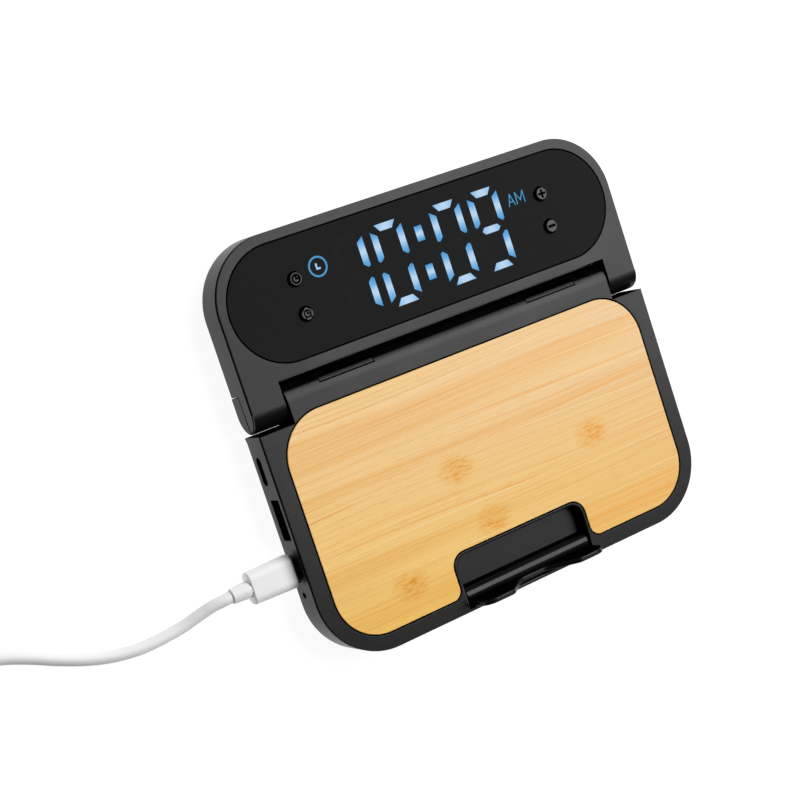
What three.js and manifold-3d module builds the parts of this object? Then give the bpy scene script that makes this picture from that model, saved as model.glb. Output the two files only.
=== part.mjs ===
// Folding alarm clock with a wireless charging pad: a display panel hinged to a bamboo-topped base, lying open
// flat, with its phone ledge raised and a USB cable in one socket. Millimetres, +Z up out of the display's
// face, +X right, +Y away from the user. The origin is on the table under the middle of the opened clock.

import * as THREE from "three";
import { mergeVertices } from "three/addons/utils/BufferGeometryUtils.js";
import Module from "manifold-3d";

const wasm = await Module();
wasm.setup();

// ---------------------------------------------------------------- driving dimensions

const WIDTH = 150;
const LENGTH = 135;
const BODY_THICKNESS = 12;
const FOOT_HEIGHT = 0.8; // how far the rubber feet stand proud of the back
const HINGE_FROM_TOP = 51.2; // the hinge axis, below the display's top edge
const RECESS_FROM_TOP = 44; // the display's lower edge between its two ears
const SHOULDER_FROM_TOP = 58; // the base's upper edge beside the barrel
const EAR_WIDTH = 11.5;
const BARREL_HALF_LENGTH = 62.6;
const WALL = 1.8;
const FLOOR = 1.3;
const RIM = 0.4; // the front covers' visible edge
const GROOVE = 0.8; // the parting groove under that edge
const SEAM = 0.3; // the gap that fitted pieces keep
const BED_PLAY = 0.2; // room for the adhesive under the lens and the bamboo plate
const DISPLAY_CORNER = 21;
const BASE_CORNER = 22;

const HALF = WIDTH / 2;
const TOP_Y = LENGTH / 2;
const END_Y = -LENGTH / 2;
const HINGE_Y = TOP_Y - HINGE_FROM_TOP;
const RECESS_Y = TOP_Y - RECESS_FROM_TOP;
const SHOULDER_Y = TOP_Y - SHOULDER_FROM_TOP;
const BACK = FOOT_HEIGHT;
const FACE = BACK + BODY_THICKNESS;
const MIDDLE = BACK + BODY_THICKNESS / 2;
const HINGE_R = BODY_THICKNESS / 2;
const EAR_INNER = HALF - EAR_WIDTH;
const FLOOR_TOP = BACK + FLOOR;
const WALL_TOP = FACE - RIM - GROOVE;
const BIG = 200; // larger than the clock, for cutting tools

// The lens and what is set in it
const LENS = { halfLength: 71.9, top: TOP_Y - 3.5, bottom: TOP_Y - 40.4, thickness: 1.5, seat: 2 };
const BUTTON = {
  x: 47.4, upperY: TOP_Y - 16.5, lowerY: TOP_Y - 27.65, r: 2.12, hole: 2.5, proud: 1.2, chamfer: 0.25,
  flangeR: 3.1, flange: 1, stemR: 1, stemEnd: 8.6,
};

// The bamboo plate, and the notch in it for the phone ledge
const BAMBOO = { half: 69.4, top: TOP_Y - 55.9, bottom: TOP_Y - 129.7, corner: 15.5, thickness: 1.4 };
const NOTCH = { half: 26.6, top: TOP_Y - 115.7, corner: 5, fillet: 3.5 };

// The phone ledge and the pocket that it folds into
const LEDGE = {
  half: 24.5, axisY: TOP_Y - 130.1, axisZ: FACE - 3, knuckleR: 2.3, rise: 9.5,
  inner: TOP_Y - 131.6, outer: TOP_Y - 133.2, tabRound: 4.5,
};
const SCOOP = { top: 13.3, bottom: 5.3, rise: 0.8, topRound: 3, bottomRound: 4 };
const POCKET = {
  half: 25.3, top: TOP_Y - 116.9, step: TOP_Y - 126.8, end: TOP_Y - 133.9,
  corner: 4, depth: 4.4, grooveDepth: 5.6,
};
const PIN_R = 0.8;

// The sockets in the left wall: middles along Y and Z, and the openings' sizes
const USB_C = { width: 9.2, height: 3.1, z: FACE - 7.55, firstY: TOP_Y - 69, secondY: TOP_Y - 100.8 };
const USB_A = { width: 13.2, height: 5.6, r: 0.4, z: FACE - 5.6, y: TOP_Y - 84.9 };
const LIGHT = { y: TOP_Y - 109.6, z: FACE - 7.3, r: 0.7, inset: 0.6, end: 5 };

// The cable
const CABLE_D = 3.8;
const COIL = { x: -200, y: 5, inner: 13.2, outer: 28.8, bottom: 0.7, height: 2 * CABLE_D };
const TIE = { half: 3, bottom: 0.4, thickness: 0.5, play: 0.6 };

// ---------------------------------------------------------------- shapes

// A closed outline from corners [x, y, radius]; a corner with a radius becomes an arc.
function outline(corners) {
  const shape = new THREE.Shape();
  corners.forEach(([x, y, r = 0], i) => {
    const corner = new THREE.Vector2(x, y);
    const [bx, by] = corners[(i + corners.length - 1) % corners.length];
    const [ax, ay] = corners[(i + 1) % corners.length];
    const back = new THREE.Vector2(bx, by).sub(corner).normalize();
    const ahead = new THREE.Vector2(ax, ay).sub(corner).normalize();
    if (!r) {
      if (i) shape.lineTo(x, y);
      else shape.moveTo(x, y);
      return;
    }
    const half = Math.acos(back.dot(ahead)) / 2;
    const start = back.clone().multiplyScalar(r / Math.tan(half)).add(corner);
    const end = ahead.clone().multiplyScalar(r / Math.tan(half)).add(corner);
    const centre = back.clone().add(ahead).normalize().multiplyScalar(r / Math.sin(half)).add(corner);
    if (i) shape.lineTo(start.x, start.y);
    else shape.moveTo(start.x, start.y);
    const from = start.sub(centre).angle();
    const to = end.sub(centre).angle();
    shape.absarc(centre.x, centre.y, r, from, to, back.cross(ahead) > 0);
  });
  shape.closePath();
  return shape;
}

const rectangle = (x0, x1, y0, y1, r = 0) =>
  outline([[x0, y0, r], [x1, y0, r], [x1, y1, r], [x0, y1, r]]);

// Prisms: a plan outline between two heights, a box, and an outline in the YZ plane between two X positions.
function slab(shape, z0, z1, curveSegments = 6) {
  const made = new THREE.ExtrudeGeometry(shape, { depth: z1 - z0, bevelEnabled: false, curveSegments });
  return made.translate(0, 0, z0);
}

function box(x0, x1, y0, y1, z0, z1) {
  const made = new THREE.BoxGeometry(x1 - x0, y1 - y0, z1 - z0);
  return made.translate((x0 + x1) / 2, (y0 + y1) / 2, (z0 + z1) / 2);
}

function bar(shapeYZ, x0, x1, curveSegments = 6) {
  const turn = new THREE.Matrix4().makeBasis(
    new THREE.Vector3(0, 1, 0), new THREE.Vector3(0, 0, 1), new THREE.Vector3(1, 0, 0));
  return slab(shapeYZ, x0, x1, curveSegments).applyMatrix4(turn);
}

// Round rods along Z and along X.
function rodZ(x, y, r, z0, z1, sides = 16) {
  const made = new THREE.CylinderGeometry(r, r, z1 - z0, sides);
  return made.rotateX(Math.PI / 2).translate(x, y, (z0 + z1) / 2);
}

function rodX(y, z, r, x0, x1, sides = 16) {
  const made = new THREE.CylinderGeometry(r, r, x1 - x0, sides);
  return made.rotateZ(Math.PI / 2).translate((x0 + x1) / 2, y, z);
}

// Left and right copies of something made at positive X.
const mirrored = (make) => [make(1), make(-1)];
const span = (side, a, b) => (side > 0 ? [a, b] : [-b, -a]);

// ---------------------------------------------------------------- joining and cutting

function solid(geometry) {
  const bare = new THREE.BufferGeometry();
  bare.setAttribute("position", geometry.getAttribute("position"));
  if (geometry.index) bare.setIndex(geometry.index);
  const merged = mergeVertices(bare, 1e-4);
  return new wasm.Manifold(new wasm.Mesh({
    numProp: 3,
    vertProperties: merged.getAttribute("position").array,
    triVerts: new Uint32Array(merged.index.array),
  }));
}

const join = (...pieces) => pieces.map(solid).reduce((a, b) => a.add(b));
const cut = (body, ...tools) => tools.flat().map(solid).reduce((a, b) => a.subtract(b), body);

function geometryOf(body) {
  const { vertProperties, triVerts } = body.getMesh();
  const made = new THREE.BufferGeometry();
  made.setAttribute("position", new THREE.BufferAttribute(vertProperties, 3));
  made.setIndex(new THREE.BufferAttribute(triVerts, 1));
  return made;
}

// ---------------------------------------------------------------- materials

const finish = (color, roughness, metalness = 0) => ({ color, roughness, metalness });
const CHARCOAL = finish(0x3b3b3d, 0.6);
const BLACK = finish(0x1c1c1e, 0.5);
const LENS_BLACK = finish(0x0f0f11, 0.15);
const BAMBOO_TAN = finish(0xe0b36c, 0.55);
const WHITE = finish(0xf2f2f2, 0.5);
const STEEL = finish(0xb8babd, 0.3, 1);
const BOARD = finish(0x1f5a38, 0.5);
const COPPER = finish(0xb8703a, 0.35, 1);
const FERRITE = finish(0x2b2b2b, 0.8);
const RUBBER = finish(0x161616, 0.9);

const clock = new THREE.Group();

function add(name, shape, look) {
  const geometry = shape.isBufferGeometry ? shape : geometryOf(shape);
  const mesh = new THREE.Mesh(geometry, new THREE.MeshStandardMaterial(look));
  mesh.name = name;
  clock.add(mesh);
}

const SIDES = [["left", -1], ["right", 1]];

// ---------------------------------------------------------------- shared small pieces

const SCREW = { r: 0.85, headR: 1.7, head: 1.1, inset: 0.3 };
const SCREW_Z = BACK + SCREW.inset;
const PILOT_R = SCREW.r + SEAM;

// Round bosses: a seat on the back wall for a screw's head, and a post under a front cover for its thread.
const SEAT = { r: 2.9, top: 3.1 };
const POST = { r: 2.2, bottom: SEAT.top + SEAM };
const SCREW_END = 9.5;
const screwSeat = (x, y) => rodZ(x, y, SEAT.r, FLOOR_TOP - 0.1, SEAT.top, 12);
const screwPost = (x, y, top) => rodZ(x, y, POST.r, POST.bottom, top, 12);
const pilotHole = (x, y) => rodZ(x, y, PILOT_R, 0, SCREW_END, 8);

// A pan-head screw driven upwards from the back; z is the underside of its head.
function screw(x, y, z, length) {
  const profile = [[0, 0], [SCREW.headR, 0], [SCREW.headR, SCREW.head], [SCREW.r, SCREW.head],
    [SCREW.r, SCREW.head + length], [0, SCREW.head + length]];
  const points = profile.map(([r, h]) => new THREE.Vector2(r, h));
  return new THREE.LatheGeometry(points, 10).rotateX(Math.PI / 2).translate(x, y, z);
}

// The tools that make a screw's counterbore and hole in a back wall.
const screwHole = (x, y, top) => [
  rodZ(x, y, SCREW.headR + SEAM, BACK - 1, SCREW_Z + SCREW.head + SEAM, 12),
  rodZ(x, y, PILOT_R, BACK, top, 8),
];

// ---------------------------------------------------------------- display panel

// The plan of the display with its two ears, drawn in by a margin.
function displayPlan(inset, earEnd) {
  const x = HALF - inset;
  const ear = EAR_INNER + inset;
  const r = DISPLAY_CORNER - inset;
  return outline([
    [-x, earEnd], [-ear, earEnd], [-ear, RECESS_Y + inset], [ear, RECESS_Y + inset],
    [ear, earEnd], [x, earEnd], [x, TOP_Y - inset, r], [-x, TOP_Y - inset, r],
  ]);
}

function lensPlan(inset) {
  const { halfLength, top, bottom } = LENS;
  const r = (top - bottom) / 2 - inset - 0.001;
  return rectangle(-halfLength + inset, halfLength - inset, bottom + inset, top - inset, r);
}

const EAR_SPLIT_Y = TOP_Y - 44.9; // the rear ear covers start here
const EAR_SCREW = { x: (HALF + EAR_INNER) / 2, y: HINGE_Y + 4.2 };
const DISPLAY_SCREW = { x: 69, y: RECESS_Y + 4.5 };
const SHAFT_R = 2;
const SHAFT_HOLE_R = SHAFT_R + SEAM;
const COVER_DEPTH = 2.8;
const EAR_BOSS = { r: 2.2, top: MIDDLE + 2.9 };
const LIP = { end: HINGE_Y + 3, gap: 0.4 };

// The lip under the barrel: hollowed round the hinge axis, it closes the hinge's gap from below.
function hingeLip() {
  return cut(
    solid(box(-BARREL_HALF_LENGTH, BARREL_HALF_LENGTH, LIP.end, RECESS_Y + 1, BACK, MIDDLE)),
    rodX(HINGE_Y, MIDDLE, HINGE_R + LIP.gap, -BIG, BIG, 32),
  );
}

// The inside of each ear: a web over the hinge shaft, and the boss of the ear cover's screw.
function earInside(side) {
  const web = span(side, EAR_INNER + 1, HALF - 1);
  return join(
    box(...web, HINGE_Y, EAR_SPLIT_Y + 1, MIDDLE, MIDDLE + FLOOR),
    rodZ(side * EAR_SCREW.x, EAR_SCREW.y, EAR_BOSS.r, MIDDLE, EAR_BOSS.top, 12),
  );
}

function displayHousing() {
  const shell = cut(
    join(
      slab(displayPlan(0, HINGE_Y), BACK, WALL_TOP),
      ...mirrored((side) => rodX(HINGE_Y, MIDDLE, HINGE_R, ...span(side, EAR_INNER, HALF), 32)),
    ),
    box(-BIG, BIG, HINGE_Y, BIG, WALL_TOP, BIG),
    slab(displayPlan(WALL, HINGE_Y + WALL), FLOOR_TOP, BIG),
    mirrored((side) => box(...span(side, EAR_INNER - 1, HALF + 1), -BIG, EAR_SPLIT_Y, -1, MIDDLE)),
  );
  const [rightInside, leftInside] = mirrored(earInside);
  const seats = join(...mirrored((side) => screwSeat(side * DISPLAY_SCREW.x, DISPLAY_SCREW.y)));
  return cut(
    shell.add(hingeLip()).add(rightInside).add(leftInside).add(seats),
    mirrored((side) => rodX(HINGE_Y, MIDDLE, SHAFT_HOLE_R, ...span(side, EAR_INNER - 1, HALF - WALL))),
    mirrored((side) => rodZ(side * EAR_SCREW.x, EAR_SCREW.y, PILOT_R, MIDDLE - 1, EAR_BOSS.top + SEAM, 8)),
    ...mirrored((side) => screwHole(side * DISPLAY_SCREW.x, DISPLAY_SCREW.y, 4)),
    DISPLAY_FEET.map(([x, y]) => footPocket(x, y, DISPLAY_FOOT_R)),
    soundHoles(),
  );
}

const BUZZER = { x: -30, y: TOP_Y - 22, r: 6, top: 4.9 };
const CELL = { x: 30, y: TOP_Y - 22, r: 6.25, bottom: FLOOR_TOP + 0.5, top: 4.6 };

// Five small holes in the back, over the buzzer.
function soundHoles() {
  const reach = 3;
  const r = 0.6;
  const places = [[0, 0], [reach, 0], [-reach, 0], [0, reach], [0, -reach]];
  return places.map(([x, y]) => rodZ(BUZZER.x + x, BUZZER.y + y, r, BACK - 1, FLOOR_TOP + 1, 8));
}

function displayFrontCover() {
  const lip = FACE - COVER_DEPTH;
  const plate = join(
    slab(displayPlan(0, HINGE_Y + SEAM), FACE - RIM, FACE),
    slab(displayPlan(WALL + SEAM, HINGE_Y + WALL + SEAM), lip, FACE - RIM + 0.1),
    ...mirrored((side) => screwPost(side * DISPLAY_SCREW.x, DISPLAY_SCREW.y, lip + 1)),
  );
  return cut(
    plate,
    slab(lensPlan(-SEAM), FACE - LENS.thickness - BED_PLAY, BIG),
    slab(lensPlan(LENS.seat), 0, BIG),
    mirrored((side) => pilotHole(side * DISPLAY_SCREW.x, DISPLAY_SCREW.y)),
    mirrored((side) => rodX(HINGE_Y, MIDDLE, SHAFT_HOLE_R, ...span(side, EAR_INNER, HALF - WALL))),
  );
}

// The rear half of an ear, screwed on over the hinge shaft.
function earRearCover(side) {
  const top = MIDDLE - SEAM;
  const x = span(side, EAR_INNER, HALF);
  const round = join(
    rodX(HINGE_Y, MIDDLE, HINGE_R, ...x, 32),
    box(...x, HINGE_Y, EAR_SPLIT_Y - SEAM, BACK, MIDDLE),
  );
  return cut(
    round,
    box(-BIG, BIG, -BIG, BIG, top, BIG),
    rodX(HINGE_Y, MIDDLE, SHAFT_HOLE_R, ...span(side, EAR_INNER - 1, HALF - WALL)),
    screwHole(side * EAR_SCREW.x, EAR_SCREW.y, BIG),
  );
}

const BUTTONS = [
  ["button_clock", -BUTTON.x, BUTTON.upperY], ["button_alarm", -BUTTON.x, BUTTON.lowerY],
  ["button_plus", BUTTON.x, BUTTON.upperY], ["button_minus", BUTTON.x, BUTTON.lowerY],
];

function displayLens() {
  const sheet = solid(slab(lensPlan(0), FACE - LENS.thickness, FACE));
  return cut(sheet, BUTTONS.map(([, x, y]) => rodZ(x, y, BUTTON.hole, 0, BIG, 12)));
}

// A push button: its cap through the lens, its flange behind the lens, and the stem that presses its switch.
function buttonProfile() {
  const { r, chamfer, flangeR, flange, stemR, stemEnd } = BUTTON;
  const flangeTop = FACE - LENS.thickness - SEAM;
  const top = FACE + BUTTON.proud;
  return [[0, stemEnd], [stemR, stemEnd], [stemR, flangeTop - flange], [flangeR, flangeTop - flange],
    [flangeR, flangeTop], [r, flangeTop], [r, top - chamfer], [r - chamfer, top], [0, top]];
}

function button(x, y) {
  const points = buttonProfile().map(([r, h]) => new THREE.Vector2(r, h));
  return new THREE.LatheGeometry(points, 12).rotateX(Math.PI / 2).translate(x, y, 0);
}

const DISPLAY_BOARD = { half: 58, halfDepth: 15, bottom: 5.2, top: 6.2 };
const DIGITS = { left: -27, right: 33, margin: 4 };
const SWITCH = { half: 1.8, height: 1.1, capR: 0.8, top: 1.5 };

function tactSwitch(x, y) {
  const { half, height, capR, top } = SWITCH;
  const base = DISPLAY_BOARD.top + SEAM;
  return join(
    box(x - half, x + half, y - half, y + half, base, base + height),
    rodZ(x, y, capR, base + height - 0.1, base + top, 8),
  );
}

// ---------------------------------------------------------------- feet

const DISPLAY_FOOT_R = 3.5;
const BASE_FOOT_R = 4.5;
const DISPLAY_FEET = [[-52, TOP_Y - 11.5], [52, TOP_Y - 11.5]];
const BASE_FEET = [[-60, -8], [60, -8], [-56, END_Y + 15], [56, END_Y + 15]];
const footPocket = (x, y, r) => rodZ(x, y, r + SEAM, BACK - 1, BACK + 0.5);
const foot = (x, y, r) => rodZ(x, y, r, 0, BACK + SEAM);

add("display_front_cover", displayFrontCover(), CHARCOAL);
add("display_housing", displayHousing(), CHARCOAL);
add("display_lens", displayLens(), LENS_BLACK);
for (const [name, side] of SIDES) {
  add(`ear_rear_cover_${name}`, earRearCover(side), CHARCOAL);
  add(`ear_screw_${name}`, screw(side * EAR_SCREW.x, EAR_SCREW.y, SCREW_Z, 7), STEEL);
  add(`display_screw_${name}`, screw(side * DISPLAY_SCREW.x, DISPLAY_SCREW.y, SCREW_Z, 6.5), STEEL);
}
for (const [name, x, y] of BUTTONS) {
  add(name, button(x, y), CHARCOAL);
  add(name.replace("button", "switch"), tactSwitch(x, y), BLACK);
}
DISPLAY_FEET.forEach(([x, y], i) => add(`display_foot_${SIDES[i][0]}`, foot(x, y, DISPLAY_FOOT_R), RUBBER));

function displayBoard() {
  const { half, halfDepth, bottom, top } = DISPLAY_BOARD;
  const middle = (LENS.top + LENS.bottom) / 2;
  return box(-half, half, middle - halfDepth, middle + halfDepth, bottom, top);
}

function digitModule() {
  const { left, right, margin } = DIGITS;
  const top = FACE - LENS.thickness - SEAM;
  return box(left, right, LENS.bottom + margin, LENS.top - margin, DISPLAY_BOARD.top + SEAM, top);
}

add("display_board", displayBoard(), BOARD);
add("digit_module", digitModule(), BLACK);
add("buzzer", rodZ(BUZZER.x, BUZZER.y, BUZZER.r, FLOOR_TOP + SEAM, BUZZER.top, 20), BLACK);
add("backup_cell", rodZ(CELL.x, CELL.y, CELL.r, CELL.bottom, CELL.top, 20), STEEL);

// ---------------------------------------------------------------- base

// The plan of the base; with a tongue it runs up to the hinge axis between the ears.
function basePlan(inset, tongueEnd) {
  const x = HALF - inset;
  const r = BASE_CORNER - inset;
  const tongue = BARREL_HALF_LENGTH - inset;
  const shoulder = SHOULDER_Y - inset;
  return outline([
    [-x, shoulder], [-x, END_Y + inset, r], [x, END_Y + inset, r], [x, shoulder],
    [tongue, shoulder], [tongue, tongueEnd], [-tongue, tongueEnd], [-tongue, shoulder],
  ]);
}

function bambooPlan(grow) {
  const x = BAMBOO.half + grow;
  const n = NOTCH.half - grow;
  const bottom = BAMBOO.bottom - grow;
  const r = BAMBOO.corner + grow;
  const f = NOTCH.fillet + grow;
  return outline([
    [-x, BAMBOO.top + grow, r], [-x, bottom, r], [-n, bottom, f], [-n, NOTCH.top - grow, NOTCH.corner - grow],
    [n, NOTCH.top - grow, NOTCH.corner - grow], [n, bottom, f], [x, bottom, r], [x, BAMBOO.top + grow, r],
  ]);
}

const BASE_SCREWS = [[-62.5, 5.1], [62.5, 5.1], [-64, -45], [64, -45]];
const PLATE = 2.6; // the base cover's thickness over the coil
const TUB = { half: 28, bottom: FACE - 6.6, end: END_Y, wall: 1.5 };
const PIN_HALF = TUB.half - 0.9;
const STRIP = { from: 30.1, to: 50, low: TOP_Y - 48.6, high: TOP_Y - 46.8, bottom: 9 };
const BARREL_WALL = 1.5;

const barrelBore = () =>
  rodX(HINGE_Y, MIDDLE, HINGE_R - BARREL_WALL, -BARREL_HALF_LENGTH + WALL, BARREL_HALF_LENGTH - WALL, 24);

// The barrel's front quarter with its end walls, seen along X as a ring sector.
function barrelQuarter() {
  const disc = rodX(HINGE_Y, MIDDLE, HINGE_R, -BARREL_HALF_LENGTH, BARREL_HALF_LENGTH, 32);
  const slot = { from: STRIP.from - 1, to: STRIP.to + SEAM, low: STRIP.low - 0.4, high: STRIP.high + SEAM };
  return cut(
    solid(disc),
    barrelBore(),
    box(-BIG, BIG, -BIG, HINGE_Y + SEAM / 2, -BIG, FACE - RIM),
    box(-BIG, BIG, -BIG, HINGE_Y - 1, -BIG, BIG),
    box(-BIG, BIG, -BIG, BIG, -BIG, MIDDLE + SEAM / 2),
    rodX(HINGE_Y, MIDDLE, SHAFT_HOLE_R, -BIG, BIG),
    mirrored((side) => box(...span(side, slot.from, slot.to), slot.low, slot.high, STRIP.bottom - 1, BIG)),
  );
}

// The tub under the notch, thinner where the pocket is shallow.
function ledgeTub() {
  const block = box(-TUB.half, TUB.half, TUB.end, POCKET.top + TUB.wall, TUB.bottom, FACE - RIM);
  const thinnerFrom = POCKET.step + 0.4;
  return cut(solid(block), box(-BIG, BIG, thinnerFrom, BIG, TUB.bottom - 1, FACE - POCKET.depth - 1));
}

// What is cut out of it: the shallow pocket for the folded ledge, its knuckle's groove, and the pin's hole.
function ledgePocket() {
  const { half, top, step, end, corner, depth, grooveDepth } = POCKET;
  const mouth = outline([[-half, end], [half, end], [half, top, corner], [-half, top, corner]]);
  return [
    slab(mouth, FACE - depth, BIG),
    box(-half, half, end, step, FACE - grooveDepth, BIG),
    rodX(LEDGE.axisY, LEDGE.axisZ, PIN_R + SEAM, -PIN_HALF - SEAM, PIN_HALF + SEAM, 12),
  ];
}

const TONGUE_PLATE_END = HINGE_Y - 3.3; // how far the thick plate runs into the barrel's tongue
const bambooBed = () => slab(bambooPlan(SEAM), FACE - BAMBOO.thickness - BED_PLAY, BIG);

function baseTopCover() {
  const plate = join(
    slab(basePlan(0, HINGE_Y), FACE - RIM, FACE),
    slab(basePlan(WALL + SEAM, TONGUE_PLATE_END), FACE - PLATE, FACE - RIM + 0.1),
    ...BASE_SCREWS.map(([x, y]) => screwPost(x, y, FACE - 2)),
  );
  return cut(
    plate.add(ledgeTub()).add(barrelQuarter()),
    bambooBed(),
    ledgePocket(),
    BASE_SCREWS.map(([x, y]) => pilotHole(x, y)),
  );
}

// Rounded openings in the left wall, from outline sizes along Y and Z.
function wallOpening(y, z, width, height, r, x0 = -HALF - 1, x1 = -HALF + WALL + 1) {
  return bar(rectangle(y - width / 2, y + width / 2, z - height / 2, z + height / 2, r), x0, x1, 4);
}

function baseHousing() {
  const shell = cut(
    join(
      slab(basePlan(0, HINGE_Y), BACK, WALL_TOP),
      rodX(HINGE_Y, MIDDLE, HINGE_R, -BARREL_HALF_LENGTH, BARREL_HALF_LENGTH, 32),
    ),
    box(-BIG, BIG, HINGE_Y, BIG, MIDDLE - SEAM / 2, BIG),
    box(-BIG, BIG, -BIG, BIG, WALL_TOP, BIG),
    slab(basePlan(WALL, HINGE_Y + 1), FLOOR_TOP, BIG),
    barrelBore(),
    rodX(HINGE_Y, MIDDLE, SHAFT_HOLE_R, -BIG, BIG),
    box(-TUB.half - SEAM, TUB.half + SEAM, -BIG, END_Y + WALL + 1, TUB.bottom - SEAM, BIG),
    bambooBed(),
  );
  const seats = join(...BASE_SCREWS.map(([x, y]) => screwSeat(x, y)));
  return cut(
    shell.add(seats),
    ...BASE_SCREWS.map(([x, y]) => screwHole(x, y, 4)),
    BASE_FEET.map(([x, y]) => footPocket(x, y, BASE_FOOT_R)),
    wallOpening(USB_C.firstY, USB_C.z, USB_C.width, USB_C.height, USB_C.height / 2 - 0.001),
    wallOpening(USB_C.secondY, USB_C.z, USB_C.width, USB_C.height, USB_C.height / 2 - 0.001),
    wallOpening(USB_A.y, USB_A.z, USB_A.width, USB_A.height, USB_A.r),
    rodX(LIGHT.y, LIGHT.z, LIGHT.r + SEAM, -HALF - 1, -HALF + WALL + 1, 12),
  );
}

add("base_top_cover", baseTopCover(), CHARCOAL);
add("base_housing", baseHousing(), CHARCOAL);
add("bamboo_plate", slab(bambooPlan(0), FACE - BAMBOO.thickness, FACE), BAMBOO_TAN);
BASE_SCREWS.forEach(([x, y], i) => add(`base_screw_${i + 1}`, screw(x, y, SCREW_Z, 6.5), STEEL));
BASE_FEET.forEach(([x, y], i) => add(`base_foot_${i + 1}`, foot(x, y, BASE_FOOT_R), RUBBER));

// A narrow strip in each of the barrel's two slots, its top following the barrel's round.
function barrelStrip(side) {
  const heightAt = (y) => MIDDLE + Math.sqrt((HINGE_R - 0.1) ** 2 - (y - HINGE_Y) ** 2);
  const { from, to, low, high, bottom } = STRIP;
  const section = outline([[low, bottom], [high, bottom], [high, heightAt(high)], [low, heightAt(low)]]);
  return bar(section, ...span(side, from, to));
}
SIDES.forEach(([name, side]) => add(`barrel_strip_${name}`, barrelStrip(side), CHARCOAL));

// ---------------------------------------------------------------- hinge

const SHAFT = { inner: 49, outer: 72.6 };
const CLIP = { from: 50, to: 59, r: 4.2, leafEnd: 4, leafHalf: 1 };
const WIRES = { from: 40, r: 0.8, boreR: 1.2 };

// A friction clip in the barrel: a sleeve round the shaft, with a leaf that reaches into the base.
function hingeClip(side) {
  const x = span(side, CLIP.from, CLIP.to);
  return cut(
    join(
      rodX(HINGE_Y, MIDDLE, CLIP.r, ...x),
      box(...x, CLIP.leafEnd, HINGE_Y - 1, MIDDLE - CLIP.leafHalf, MIDDLE + CLIP.leafHalf),
    ),
    rodX(HINGE_Y, MIDDLE, SHAFT_HOLE_R, -BIG, BIG),
  );
}

const rightShaft = cut(
  solid(rodX(HINGE_Y, MIDDLE, SHAFT_R, SHAFT.inner, SHAFT.outer)),
  rodX(HINGE_Y, MIDDLE, WIRES.boreR, 0, BIG, 12),
);
add("hinge_shaft_left", rodX(HINGE_Y, MIDDLE, SHAFT_R, -SHAFT.outer, -SHAFT.inner), STEEL);
add("hinge_shaft_right", rightShaft, STEEL);
SIDES.forEach(([name, side]) => add(`hinge_clip_${name}`, hingeClip(side), STEEL));
add("hinge_wires", rodX(HINGE_Y, MIDDLE, WIRES.r, WIRES.from, SHAFT.outer, 8), BLACK);

// ---------------------------------------------------------------- phone ledge

// The ledge's upright plate seen along Y: two tabs with a scoop for the thumb between them.
function ledgeFace() {
  const { half, axisZ, tabRound } = LEDGE;
  const top = FACE + LEDGE.rise;
  const low = FACE + SCOOP.rise;
  return outline([
    [-half, axisZ], [half, axisZ], [half, top, tabRound],
    [SCOOP.top, top, SCOOP.topRound], [SCOOP.bottom, low, SCOOP.bottomRound],
    [-SCOOP.bottom, low, SCOOP.bottomRound], [-SCOOP.top, top, SCOOP.topRound],
    [-half, top, tabRound],
  ]);
}

function phoneLedge() {
  const { inner, outer, axisY, axisZ, knuckleR, half } = LEDGE;
  const upright = slab(ledgeFace(), -inner, -outer, 6).rotateX(Math.PI / 2);
  return cut(
    join(upright, rodX(axisY, axisZ, knuckleR, -half, half, 20)),
    rodX(axisY, axisZ, PIN_R + SEAM, -BIG, BIG, 12),
  );
}

add("phone_ledge", phoneLedge(), CHARCOAL);
add("ledge_pin", rodX(LEDGE.axisY, LEDGE.axisZ, PIN_R, -PIN_HALF, PIN_HALF, 12), STEEL);

// ---------------------------------------------------------------- charger and electronics in the base

const BASE_BOARD = { left: -71.5, right: 12, low: -41.8, high: 1.8, bottom: FLOOR_TOP + SEAM, top: 3.4 };
const CHARGER = { y: -20, outer: 21.5, inner: 10, top: FACE - PLATE - SEAM, thickness: 1.2 };
const SHIELD = { r: 25, top: CHARGER.top - CHARGER.thickness - SEAM, thickness: 0.8 };

function chargingCoil() {
  const { y, outer, inner, top, thickness } = CHARGER;
  const shape = new THREE.Shape().absarc(0, y, outer, 0, 2 * Math.PI);
  shape.holes.push(new THREE.Path().absarc(0, y, inner, 0, 2 * Math.PI));
  return slab(shape, top - thickness, top, 28);
}

add("charging_coil", chargingCoil(), COPPER);
add("ferrite_sheet", rodZ(0, CHARGER.y, SHIELD.r, SHIELD.top - SHIELD.thickness, SHIELD.top, 28), FERRITE);
const { left, right, low, high, bottom, top } = BASE_BOARD;
add("base_board", box(left, right, low, high, bottom, top), BOARD);

// A socket: a metal sleeve open to the left, closed at its inner end, with a contact tongue inside.
const SOCKET_C = { width: 9.1, height: 3.2, r: 1.59, depth: 7.4, tongue: { width: 6.7, height: 0.7, up: 0 } };
const SOCKET_A = { width: 13.2, height: 5.7, r: 0.4, depth: 13.5, tongue: { width: 11.1, height: 1.8, up: 1.2 } };
const SOCKET_WALL = 0.3;

function socket(y, z, { width, height, r, depth, tongue }) {
  const mouth = -HALF + WALL + SEAM;
  const back = mouth + depth;
  const innerWidth = width - 2 * SOCKET_WALL;
  const innerHeight = height - 2 * SOCKET_WALL;
  const sleeve = cut(
    solid(wallOpening(y, z, width, height, r, mouth, back)),
    wallOpening(y, z, innerWidth, innerHeight, r - SOCKET_WALL, mouth - 1, back - 1),
  );
  const inside = wallOpening(y, z + tongue.up, tongue.width, tongue.height, 0, mouth + 1.2, back - 0.5);
  return sleeve.add(solid(inside));
}

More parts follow.
